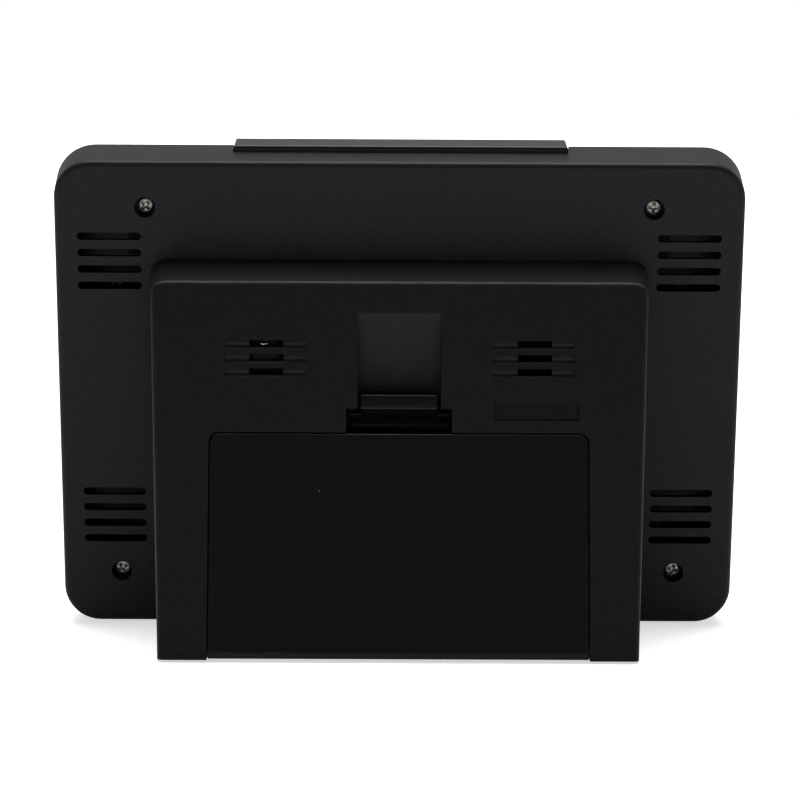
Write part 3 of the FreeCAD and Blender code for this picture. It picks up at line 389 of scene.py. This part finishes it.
class FRAME_OT_mouldings(bpy.types.Operator):
    """Finish the case, stand, door, latch spring, tray and feet"""

    bl_idname = "frame.mouldings"
    bl_label = "Finish mouldings"

    def execute(self, context):
        tints = context.scene.frame_colours
        case = moulded_plastic("case_black", tints.case, 0.42, 2600.0, 0.00006, level=0.12)
        door = moulded_plastic("door_black", tints.door, 0.34, 3400.0, 0.00004, 0.06, 0.012, 0.13)
        tray = moulded_plastic("tray_black", tints.bezel, 0.35, 900.0, 0.00002, 0.1, 0.0)
        rubber = moulded_plastic("foot_rubber", tints.bezel, 0.8, 1500.0, 0.00008, 0.05, 0.1)
        for name, made in (
            ("rear_case", case),
            ("battery_door", door),
            ("latch_spring", door),
            ("battery_tray", tray),
            ("foot_strip_front", rubber),
            ("foot_strip_rear", rubber),
        ):
            dress(name, made)
        return {"FINISHED"}


class FRAME_OT_display(bpy.types.Operator):
    """Finish the bezel, the lens, the panel and the press bar"""

    bl_idname = "frame.display"
    bl_label = "Finish display"

    def execute(self, context):
        tints = context.scene.frame_colours
        bezel = moulded_plastic("bezel_satin", tints.bezel, 0.28, 2600.0, 0.00002, 0.06, 0.01)
        bar = moulded_plastic("bar_satin", tints.bezel, 0.33, 3000.0, 0.00002, 0.06, 0.01)
        dress("front_bezel", bezel)
        dress("press_bar", bar)
        dress("display_lens", self.tinted_lens(context.scene.frame_sizes))
        dress("lcd_panel", self.dark_panel())
        return {"FINISHED"}

    def tinted_lens(self, sizes):
        """Dark gloss lens: an opaque printed surround, and a faintly lighter viewing area."""
        made, tree, shader = start_material("lens_gloss")
        where = node(tree, "ShaderNodeTexCoord").outputs["Object"]
        split = node(tree, "ShaderNodeSeparateXYZ")
        link(tree, where, split.inputs[0])
        low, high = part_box("lcd_panel")
        half = (high.x - low.x) / 2 - sizes.print_side
        middle, rise = (low.z + high.z) / 2, (high.z - low.z) / 2 - sizes.print_level
        inside = None
        for axis, centre, reach in (("X", 0.0, half), ("Z", middle, rise)):
            away = node(tree, "ShaderNodeMath", operation="SUBTRACT")
            link(tree, split.outputs[axis], away.inputs[0])
            away.inputs[1].default_value = centre
            size = node(tree, "ShaderNodeMath", operation="ABSOLUTE")
            link(tree, away.outputs[0], size.inputs[0])
            mask = ramp(tree, reach - 0.3 * MM, reach + 0.3 * MM, size.outputs[0], 1.0, 0.0)
            if inside is None:
                inside = mask
            else:
                both = node(tree, "ShaderNodeMath", operation="MULTIPLY")
                link(tree, inside, both.inputs[0])
                link(tree, mask, both.inputs[1])
                inside = both.outputs[0]
        glow = mix_colour(tree, inside, (0.0015, 0.0015, 0.0017), (0.011, 0.0125, 0.0135))
        link(tree, glow, shader.inputs["Base Color"])
        smear = scaled_noise(tree, where, 45.0, 3.0)
        link(tree, ramp(tree, 0.3, 0.8, smear, 0.04, 0.11), shader.inputs["Roughness"])
        shader.inputs["Coat Weight"].default_value = 0.3
        return made

    def dark_panel(self):
        """The switched-off panel behind the lens, in its dark steel frame."""
        made, tree, shader = start_material("panel_dark")
        where = node(tree, "ShaderNodeTexCoord").outputs["Object"]
        grain = scaled_noise(tree, where, 1800.0)
        link(tree, ramp(tree, 0.3, 0.7, grain, 0.5, 0.62), shader.inputs["Roughness"])
        tints = (0.003, 0.003, 0.0035), (0.006, 0.006, 0.007)
        link(tree, mix_colour(tree, grain, *tints), shader.inputs["Base Color"])
        shader.inputs["Specular IOR Level"].default_value = 0.15
        return made


class FRAME_OT_case_screws(bpy.types.Operator):
    """Build the four case screws with domed heads, cross recesses and threads"""

    bl_idname = "frame.case_screws"
    bl_label = "Build case screws"

    def execute(self, context):
        sizes = context.scene.frame_sizes
        nickel = plated_metal("screw_nickel", context.scene.frame_colours.screw, 0.34)
        points = node_points("case_screws", CASE_LEAN)
        away = points - points.mean(0)
        for index, (side, level) in enumerate(((-1, -1), (1, -1), (-1, 1), (1, 1)), start=1):
            near = (away[:, 0] * side > 0) & (away[:, 2] * level > 0)
            low, high = points[near].min(0), points[near].max(0)
            spin = 0.35 + 0.9 * index
            made, faces = self.screw(low, high, sizes, spin)
            made = turned(made, CASE_LEAN)
            stands_for = ["case_screws"] if index == 1 else []
            new_piece(f"case_screw_{index}", made, faces, [nickel], "case", stands_for)
        return {"FINISHED"}

    def screw(self, low, high, sizes, spin):
        """Turned profile: head dome, rim, seat, then a shank whose radius rises and falls once a
        pitch and shifts with the angle, so that the ridge is a helix. The cross is a dip of the
        dome where either of two crossed strips covers it, with sloping walls."""
        head = (high[0] - low[0]) / 2
        tall = sizes.screw_head
        shaft = high[1] - low[1] - tall
        core = 0.42 * head
        on_dome, on_shank = slice(0, 40), slice(43, 183)
        share = np.linspace(0.02, 1.0, 40)
        rise = tall * (0.66 + 0.34 * np.sqrt(np.clip(1 - share**4.5, 0, 1)))
        drop = np.linspace(0.0, 1.0, 140)
        seat = [head, head * 0.97, core * 1.2]
        radius = np.concatenate([share * head, seat, np.full_like(drop, core), [core * 0.1]])
        level = np.concatenate([rise, [tall * 0.3, 0.0, 0.0], -drop * shaft * 0.97, [-shaft]])
        rings = lathe(radius, level, 96)
        theta = np.arctan2(rings[on_shank, :, 1], rings[on_shank, :, 0])
        turns = rings[on_shank, :, 2] / sizes.thread_pitch
        ridge = 0.5 + 0.5 * np.cos(theta + 2 * math.pi * turns)
        taper = np.minimum(1.0, (1 - drop) * 6)[:, None]
        rings[on_shank, :, :2] *= (1 + 0.28 * taper * ridge**2)[..., None]
        rings[on_dome, :, 2] -= self.cross(rings[on_dome], head, sizes.recess_depth)
        c, s = math.cos(spin), math.sin(spin)
        rings[..., :2] = rings[..., :2] @ np.array([[c, s], [-s, c]])
        made, faces = closed_tube(rings, [[0, 0, rings[0, 0, 2]]], [[0, 0, -shaft]])
        under = np.array([(low[0] + high[0]) / 2, high[1] - tall, (low[2] + high[2]) / 2])
        laid = np.stack([-made[:, 0], made[:, 2], made[:, 1]], -1) + under
        return laid, [face[::-1] for face in faces]

    def cross(self, dome, head, depth):
        """How far the cross recess dips each point of the dome."""
        x, y = dome[..., 0], dome[..., 1]
        arm, wide, soft = 0.62 * head, 0.17 * head, 0.10 * head
        cover = np.zeros_like(x)
        for over, along in ((x, y), (y, x)):
            within = np.clip((wide - np.abs(over)) / soft + 0.5, 0, 1)
            short = np.clip((arm - np.abs(along)) / soft + 0.5, 0, 1)
            cover = np.maximum(cover, within * short)
        deep = np.clip(1.15 - np.hypot(x, y) / arm * 0.5, 0, 1)
        return depth * cover * deep


class FRAME_OT_cells(bpy.types.Operator):
    """Build the four battery cells with sleeves, rolled ends and nubs"""

    bl_idname = "frame.cells"
    bl_label = "Build battery cells"

    def execute(self, context):
        slope = context.scene.frame_sizes.face_slope
        crimp = context.scene.frame_sizes.crimp
        tints = context.scene.frame_colours
        sleeve = self.sleeve_material(tints)
        metal = plated_metal("cell_ends", tints.ends, 0.24)
        for index in range(1, 5):
            points = node_points(f"battery_cell_{index}", slope)
            low, high = points.min(0), points.max(0)
            axis = (low + high) / 2
            at_end = points[points[:, 0] > high[0] - 0.1 * MM]
            way = 1 if np.ptp(at_end[:, 2]) < 10 * MM else -1  # the nub is the narrow end
            self.cell(index, low, high, axis, way, crimp, slope, (sleeve, metal))
        return {"FINISHED"}

    def cell(self, index, low, high, axis, way, crimp, slope, materials):
        """Profile turned about the cell's axis: flat end, rolled edge, sleeve, rolled edge, nub."""
        radius = (high[2] - low[2]) / 2
        whole = high[0] - low[0]
        nub_rise, nub = 1.5 * MM, 3.7 * MM
        can = whole - nub_rise
        corners = [
            (0.4 * MM, 0.35 * MM),
            (radius - 3.0 * MM, 0.35 * MM),
            (radius - 2.0 * MM, 0.0),
            (radius - 0.2 * MM, 0.0),
            (radius, crimp * 1.4),
            (radius - 0.12 * MM, crimp * 2.2),
            (radius, crimp * 3.0),
            (radius, can - crimp * 3.0),
            (radius - 0.12 * MM, can - crimp * 2.2),
            (radius, can - crimp * 1.4),
            (radius - 0.2 * MM, can),
            (radius - 2.0 * MM, can),
            (radius - 3.0 * MM, can - 0.6 * MM),
            (nub + 1.5 * MM, can - 0.6 * MM),
            (nub, can - 0.2 * MM),
            (nub - 0.2 * MM, whole),
            (0.4 * MM, whole),
        ]
        profile = rounded_profile(corners, 0.45 * MM, 5)
        rings = lathe(profile[:, 0], profile[:, 1] - whole / 2, 72)
        made, faces = closed_tube(rings, [[0, 0, corners[0][1] - whole / 2]], [[0, 0, whole / 2]])
        laid = np.stack([made[:, 2] * way, made[:, 1], -made[:, 0] * way], -1) + axis
        nodes = [f"battery_cell_{index}"]
        made = turned(laid, slope)
        piece = new_piece(f"cell_{index}", made, faces, materials, "case", nodes)
        mids = np.array([np.mean([laid[v] - axis for v in face], axis=0) for face in faces])
        away = np.hypot(mids[:, 1], mids[:, 2])
        is_end = (away < radius - 1.2 * MM).astype(np.int32)
        piece.data.polygons.foreach_set("material_index", is_end)
        self.write_uv(piece, laid, axis, way, whole)

    def write_uv(self, piece, laid, axis, way, whole):
        """U runs round the cell and V along it, from the flat end to the nub."""
        layer = piece.data.uv_layers.new(name="sleeve")
        index = np.empty(len(piece.data.loops), np.int32)
        piece.data.loops.foreach_get("vertex_index", index)
        away = laid[index] - axis
        around = np.arctan2(away[:, 1], away[:, 2]) / (2 * math.pi) + 0.5
        along = way * away[:, 0] / whole + 0.5
        layer.data.foreach_set("uv", np.stack([around, along], -1).astype(np.float32).ravel())

    def sleeve_material(self, tints):
        """Plain slate sleeve with a thin pale ring near each end."""
        made, tree, shader = start_material("cell_sleeve")
        uv = node(tree, "ShaderNodeUVMap", uv_map="sleeve").outputs["UV"]
        split = node(tree, "ShaderNodeSeparateXYZ")
        link(tree, uv, split.inputs[0])
        middle = node(tree, "ShaderNodeMath", operation="SUBTRACT")
        link(tree, split.outputs["Y"], middle.inputs[0])
        middle.inputs[1].default_value = 0.5
        away = node(tree, "ShaderNodeMath", operation="ABSOLUTE")
        link(tree, middle.outputs[0], away.inputs[0])
        ring = node(tree, "ShaderNodeMath", operation="COMPARE")
        link(tree, away.outputs[0], ring.inputs[0])
        ring.inputs[1].default_value = 0.37
        ring.inputs[2].default_value = 0.012
        where = node(tree, "ShaderNodeTexCoord").outputs["Object"]
        cloud = scaled_noise(tree, where, 220.0)
        pale = mix_colour(tree, cloud, [c * 0.85 for c in tints.band], tints.band)
        slate = mix_colour(tree, cloud, [c * 0.9 for c in tints.sleeve], tints.sleeve)
        link(tree, mix_colour(tree, ring.outputs[0], slate, pale), shader.inputs["Base Color"])
        link(tree, ramp(tree, 0.3, 0.7, cloud, 0.22, 0.34), shader.inputs["Roughness"])
        return made


class FRAME_OT_springs(bpy.types.Operator):
    """Build the conical contact springs and finish the contact plates"""

    bl_idname = "frame.springs"
    bl_label = "Build contact springs"

    def execute(self, context):
        sizes = context.scene.frame_sizes
        plate = plated_metal("contact_nickel", context.scene.frame_colours.nickel, 0.22)
        dress("contact_plates", plate)
        slope = sizes.face_slope
        points = node_points("contact_springs", slope)
        for index, side in enumerate((-1, 1), start=1):
            near = points[points[:, 0] * side > 0]
            low, high = near.min(0), near.max(0)
            made, faces = self.coil(low, high, side, sizes.wire)
            made = turned(made, slope)
            stands_for = ["contact_springs"] if index == 1 else []
            new_piece(f"contact_spring_{index}", made, faces, [plate], "case", stands_for)
        return {"FINISHED"}

    def coil(self, low, high, side, wire):
        """A circle of wire carried along a helix that narrows from the plate to the cell: angle
        and distance grow together, and the radius falls in a straight line."""
        turns = 3.4
        t = np.linspace(0, 1, 340)
        reach = (high[0] - low[0]) - 2 * wire
        wide = (high[2] - low[2]) / 2 - wire
        spread = wide * (1.0 - 0.42 * t)
        spin = 2 * math.pi * turns * t
        start = high[0] - wire if side > 0 else low[0] + wire
        middle = (low + high) / 2
        ease = np.clip((t - 0.12) / 0.76, 0, 1)
        across, up = middle[1] + spread * np.cos(spin), middle[2] + spread * np.sin(spin)
        path = np.stack([start - side * reach * ease, across, up], -1)
        tangent = np.gradient(path, axis=0)
        tangent /= np.linalg.norm(tangent, axis=1, keepdims=True)
        out = np.stack([np.zeros_like(t), np.cos(spin), np.sin(spin)], -1)
        out -= (out * tangent).sum(1, keepdims=True) * tangent
        out /= np.linalg.norm(out, axis=1, keepdims=True)
        aside = np.cross(tangent, out)
        ring = np.linspace(0, 2 * math.pi, 12, endpoint=False)[:, None]
        rings = path[:, None] + wire * (out[:, None] * np.cos(ring) + aside[:, None] * np.sin(ring))
        return closed_tube(rings, path[:1], path[-1:])


class FRAME_OT_latch_lip(bpy.types.Operator):
    """Build the latch lip as one rounded bar on its leg"""

    bl_idname = "frame.latch_lip"
    bl_label = "Build latch lip"

    def execute(self, context):
        sizes = context.scene.frame_sizes
        slope = sizes.face_slope
        points = node_points("latch_lip", slope)
        low, high = points.min(0), points.max(0)
        made, faces = self.bar(low, high, sizes.lip_round)
        tint = context.scene.frame_colours.door
        plastic = moulded_plastic("latch_black", tint, 0.30, 3400.0, 0.00003, 0.06, 0.01, 0.2)
        new_piece("lip_bar", turned(made, slope), faces, [plastic], "latch", ["latch_lip"])
        return {"FINISHED"}

    def bar(self, low, high, rounding):
        """One closed section, a bar with a leg behind it, carried across. Near the ends the section
        draws in towards its own middle along a quarter circle, so that both ends are rounded."""
        deep, tall = high[1] - low[1], high[2] - low[2]
        corners = [
            (0.00, 0.02),
            (0.42, 0.26),
            (0.99, 0.295),
            (1.00, 0.65),
            (0.99, 1.00),
            (0.76, 1.00),
            (0.68, 0.74),
            (0.44, 0.48),
            (0.00, 0.18),
        ]
        shape = np.array(corners + [corners[0]]) * [deep, tall]
        half = (shape[0] + shape[1]) / 2
        loop = rounded_profile(np.vstack([half, shape[1:], half]), 0.55 * MM, 7)[:-1]
        edge = np.sin(np.linspace(0, math.pi / 2, 9))
        inset = rounding * (1 - np.sqrt(1 - (1 - edge) ** 2))
        across = np.concatenate([low[0] + rounding * edge, (high[0] - rounding * edge)[::-1]])
        shrink = np.concatenate([inset, inset[::-1]])
        middle = np.array([0.80 * deep, 0.60 * tall])
        away = loop - middle
        size = np.linalg.norm(away, axis=1)
        factor = np.clip((size[None] - shrink[:, None]) / size[None], 0.05, 1)
        section = middle + away[None] * factor[..., None]
        x = np.broadcast_to(across[:, None], section.shape[:2])
        rings = np.stack([x, section[..., 0] + low[1], section[..., 1] + low[2]], -1)
        ends = [[[end, middle[0] + low[1], middle[1] + low[2]]] for end in (across[0], across[-1])]
        return closed_tube(rings, *ends)


class FRAME_OT_speaker(bpy.types.Operator):
    """Build the speaker's cone with its ribbed surround, and finish its basket and magnet"""

    bl_idname = "frame.speaker"
    bl_label = "Build speaker"

    def execute(self, context):
        tints = context.scene.frame_colours
        slope = context.scene.frame_sizes.face_slope
        steel = plated_metal("basket_zinc", tints.steel, 0.34, 2500.0)
        dress("speaker_basket", steel)
        dress("speaker_magnet", steel)
        points = node_points("speaker_cone", slope)
        low, high = points.min(0), points.max(0)
        made, faces, dome = self.cone(low, high)
        made = turned(made, slope)
        paper = moulded_plastic("cone_paper", tints.paper, 0.75, 1200.0, 0.0001, 0.1, 0.02)
        cap = moulded_plastic("dust_cap", tints.cap, 0.5, 1500.0, 0.00005)
        looks = [paper, cap]
        piece = new_piece("speaker_diaphragm", made, faces, looks, "case", ["speaker_cone"])
        piece.data.polygons.foreach_set("material_index", dome.astype(np.int32))
        bead, faces = self.bead(context.scene.frame_sizes)
        solder = plated_metal("lead_solder", tints.solder, 0.16)
        new_piece("lead_bead", turned(bead, slope), faces, [solder], "case", [])
        return {"FINISHED"}

    def bead(self, sizes):
        """The solder bead of a lead behind the top vent: half an ellipsoid, longer across than it is
        tall, and a little uneven. Its rows are latitudes and its columns angles."""
        latitude = np.linspace(0.04, math.pi / 2 - 0.03, 12)
        dome = lathe(np.cos(latitude), np.sin(latitude), 28)
        rings = np.concatenate([dome[:1] * [1, 1, -1.5], dome])
        lobes = 1 + 0.10 * np.sin(3 * np.arctan2(rings[..., 1], rings[..., 0]) + 0.6)
        rings[..., :2] *= lobes[..., None]
        points, faces = closed_tube(rings, [[0, 0, rings[0, 0, 2]]], [[0, 0, 1]])
        stretched = points * [sizes.bead_wide, sizes.bead_tall, sizes.bead_proud]
        laid = np.stack([-stretched[:, 0], stretched[:, 2], stretched[:, 1]], -1)
        return laid + BEAD_PLACE, faces

    def cone(self, low, high):
        """Depth as a function of radius: a domed cap, a straight cone, and a surround whose three
        ripples are a sine; a second skin lies a fixed step behind it."""
        edge = (high[2] - low[2]) / 2
        deep = high[1] - low[1] - 0.5 * MM
        share = np.linspace(0.01, 1.0, 90)
        cap, rim = 0.40, 0.74
        depth = np.where(
            share < cap,
            0.62 - 0.30 * np.sqrt(np.clip(1 - (share / cap) ** 2, 0, 1)),
            np.where(share < rim, 0.95 - 0.78 * (share - cap) / (rim - cap), 0.17),
        )
        ripple = np.where(share >= rim, 0.07 * np.sin((share - rim) / (1 - rim) * 6 * math.pi), 0.0)
        front = -deep * (depth + ripple)
        radius = np.concatenate([share, share[::-1]]) * edge
        level = np.concatenate([front, front[::-1] - 0.3 * MM])
        rings = lathe(radius, level, 72)
        made, faces = closed_tube(rings, [[0, 0, level[0]]], [[0, 0, level[-1]]])
        centre = np.array([(low[0] + high[0]) / 2, high[1], (low[2] + high[2]) / 2])
        laid = np.stack([-made[:, 0], made[:, 2], made[:, 1]], -1) + centre
        mids = np.array([np.mean([made[v] for v in face], axis=0) for face in faces])
        dome = np.hypot(mids[:, 0], mids[:, 1]) < cap * edge
        return laid, [face[::-1] for face in faces], dome


class FRAME_OT_boards(bpy.types.Operator):
    """Finish the circuit boards, chips, switches, socket, ribbon and brackets inside"""

    bl_idname = "frame.boards"
    bl_label = "Finish boards"

    def execute(self, context):
        tints = context.scene.frame_colours
        board = moulded_plastic("solder_mask", tints.board, 0.3, 700.0, 0.00002, 0.1, 0.0)
        chip = moulded_plastic("chip_resin", tints.chip, 0.6, 3000.0, 0.00003, 0.05, 0.0)
        film = moulded_plastic("ribbon_film", tints.film, 0.3, 800.0, 0.00001, 0.05, 0.0)
        sheet = plated_metal("sheet_zinc", tints.sheet, 0.36, 1500.0)
        # Painted shade: the back plate gets a near-black colour so that the case's shaded interior looks
        # dark through the vents
        painted_shade_plate = moulded_plastic("plate_painted_shade", tints.plate, 0.5, 1800.0, 0.00001)
        brass = plated_metal("standoff_nickel", tints.nickel, 0.26)
        for made, names in (
            (board, ("main_board", "card_board", "switch_board")),
            (chip, ("main_chip", "memory_chip", "bar_switch_1", "bar_switch_2")),
            (film, ("lcd_ribbon",)),
            (sheet, ("card_socket",)),
            (painted_shade_plate, ("lcd_back_plate",)),
            (brass, ("board_standoffs", "board_screws", "plate_screws")),
        ):
            for name in names:
                dress(name, made)
        return {"FINISHED"}


# ---- studio ----------------------------------------------------------------------------


class FRAME_OT_stage(bpy.types.Operator):
    """Lay the floor, light the room and place the camera"""

    bl_idname = "frame.stage"
    bl_label = "Set the stage"

    def execute(self, context):
        studio = context.scene.frame_studio
        self.floor(context.scene.frame_colours.floor, studio)
        self.surround(context.scene, studio)
        self.camera(context.scene, studio)
        context.scene.view_settings.view_transform = "Standard"
        return {"FINISHED"}

    def floor(self, tint, studio):
        """A wide level grid of points at height zero. The paper shows the camera more light of its
        own than it sends to the object."""
        side = np.linspace(-40.0, 40.0, 5)
        x, y = np.meshgrid(side, side)
        points = np.stack([x, y, np.zeros_like(x)], -1).reshape(-1, 3)
        mesh = bpy.data.meshes.new("floor")
        mesh.from_pydata(points.tolist(), [], grid_faces(5, 5, False).tolist())
        made, tree, shader = start_material("floor_paper")
        where = node(tree, "ShaderNodeTexCoord").outputs["Object"]
        cloud = scaled_noise(tree, where, 3.0)
        link(tree, mix_colour(tree, cloud, [c * 0.98 for c in tint], tint), shader.inputs["Base Color"])
        shader.inputs["Roughness"].default_value = 0.9
        shader.inputs["Specular IOR Level"].default_value = 0.1
        shader.inputs["Emission Color"].default_value = (1.0, 1.0, 1.0, 1.0)
        seen = node(tree, "ShaderNodeLightPath").outputs["Is Camera Ray"]
        given = ramp(tree, 0.0, 1.0, seen, studio.bounce, studio.glow)
        link(tree, given, shader.inputs["Emission Strength"])
        mesh.materials.append(made)
        floor = bpy.data.objects.new("floor", mesh)
        bpy.context.collection.objects.link(floor)

    def surround(self, scene, studio):
        """A room of soft light: a bright patch of ceiling, a pale far wall, a dim near wall and dim
        sides. Behind it all, straight lines of sight meet plain white."""
        world = bpy.data.worlds.new("studio")
        scene.world = world
        world.use_nodes = True
        tree = world.node_tree
        where = node(tree, "ShaderNodeTexCoord").outputs["Generated"]
        split = node(tree, "ShaderNodeSeparateXYZ")
        link(tree, where, split.inputs[0])
        wall = ramp(tree, -0.45, 0.55, split.outputs["Y"], studio.far_wall, studio.near_wall)
        towards = node(tree, "ShaderNodeVectorMath", operation="DOT_PRODUCT")
        link(tree, where, towards.inputs[0])
        towards.inputs[1].default_value = (0.0, -math.sin(studio.ahead), math.cos(studio.ahead))
        high = ramp(tree, 0.88, 0.98, towards.outputs["Value"], 0.0, studio.ceiling)
        aside = node(tree, "ShaderNodeMath", operation="ABSOLUTE")
        link(tree, split.outputs["X"], aside.inputs[0])
        side = ramp(tree, 0.60, 0.92, aside.outputs[0], 0.0, studio.sides)
        total = wall
        for part in (high, side):
            both = node(tree, "ShaderNodeMath", operation="ADD")
            link(tree, total, both.inputs[0])
            link(tree, part, both.inputs[1])
            total = both.outputs[0]
        seen = node(tree, "ShaderNodeLightPath").outputs["Is Camera Ray"]
        pick = node(tree, "ShaderNodeMix", data_type="FLOAT")
        link(tree, seen, pick.inputs["Factor"])
        link(tree, total, pick.inputs[2])
        pick.inputs[3].default_value = 1.0
        link(tree, pick.outputs[0], tree.nodes["Background"].inputs["Strength"])
        tree.nodes["Background"].inputs["Color"].default_value = (1.0, 1.0, 1.0, 1.0)

    def camera(self, scene, studio):
        """Straight behind the object, a little above it, aimed at the middle of the case."""
        lens = bpy.data.cameras.new("view")
        lens.lens = studio.focal
        lens.clip_start = 0.01
        lens.clip_end = 50.0
        camera = bpy.data.objects.new("view", lens)
        aim_y = studio.height * math.tan(-CASE_LEAN) - studio.foot
        aim = Vector((-studio.aside, aim_y, studio.height))
        back = Vector((
            math.sin(studio.swing) * math.cos(studio.elevation),
            math.cos(studio.swing) * math.cos(studio.elevation),
            math.sin(studio.elevation),
        ))
        turn = back.to_track_quat("Z", "Y").to_matrix().to_4x4()
        camera.matrix_world = (
            Matrix.Translation(aim + studio.distance * back) @ turn @ Matrix.Rotation(studio.roll, 4, "Z")
        )
        bpy.context.collection.objects.link(camera)
        scene.camera = camera


# ---- add-on ----------------------------------------------------------------------------


OPERATORS = (
    FRAME_OT_mouldings,
    FRAME_OT_display,
    FRAME_OT_case_screws,
    FRAME_OT_cells,
    FRAME_OT_springs,
    FRAME_OT_latch_lip,
    FRAME_OT_speaker,
    FRAME_OT_boards,
    FRAME_OT_stage,
)


class FRAME_PT_panel(bpy.types.Panel):
    """The frame's steps, in order"""

    bl_label = "Display Frame"
    bl_idname = "FRAME_PT_panel"
    bl_space_type = "VIEW_3D"
    bl_region_type = "UI"
    bl_category = "Display Frame"

    def draw(self, context):
        column = self.layout.column()
        for made in OPERATORS:
            column.operator(made.bl_idname)
        for group in (context.scene.frame_sizes, context.scene.frame_colours, context.scene.frame_studio):
            for key in group.__annotations__:
                column.prop(group, key)


GROUPS = (("frame_sizes", FrameSizes), ("frame_colours", FrameColours), ("frame_studio", FrameStudio))


def register():
    for name, group in GROUPS:
        bpy.utils.register_class(group)
        setattr(bpy.types.Scene, name, PointerProperty(type=group))
    for made in (*OPERATORS, FRAME_PT_panel):
        bpy.utils.register_class(made)


def unregister():
    for made in reversed((*OPERATORS, FRAME_PT_panel)):
        bpy.utils.unregister_class(made)
    for name, group in reversed(GROUPS):
        delattr(bpy.types.Scene, name)
        bpy.utils.unregister_class(group)


def main():
    register()
    moulded_skin_group()
    settled_dust_group()
    bpy.ops.frame.stage()
    bpy.ops.frame.mouldings()
    bpy.ops.frame.display()
    bpy.ops.frame.case_screws()
    bpy.ops.frame.cells()
    bpy.ops.frame.springs()
    bpy.ops.frame.latch_lip()
    bpy.ops.frame.speaker()
    bpy.ops.frame.boards()


if __name__ == "__main__":
    main()
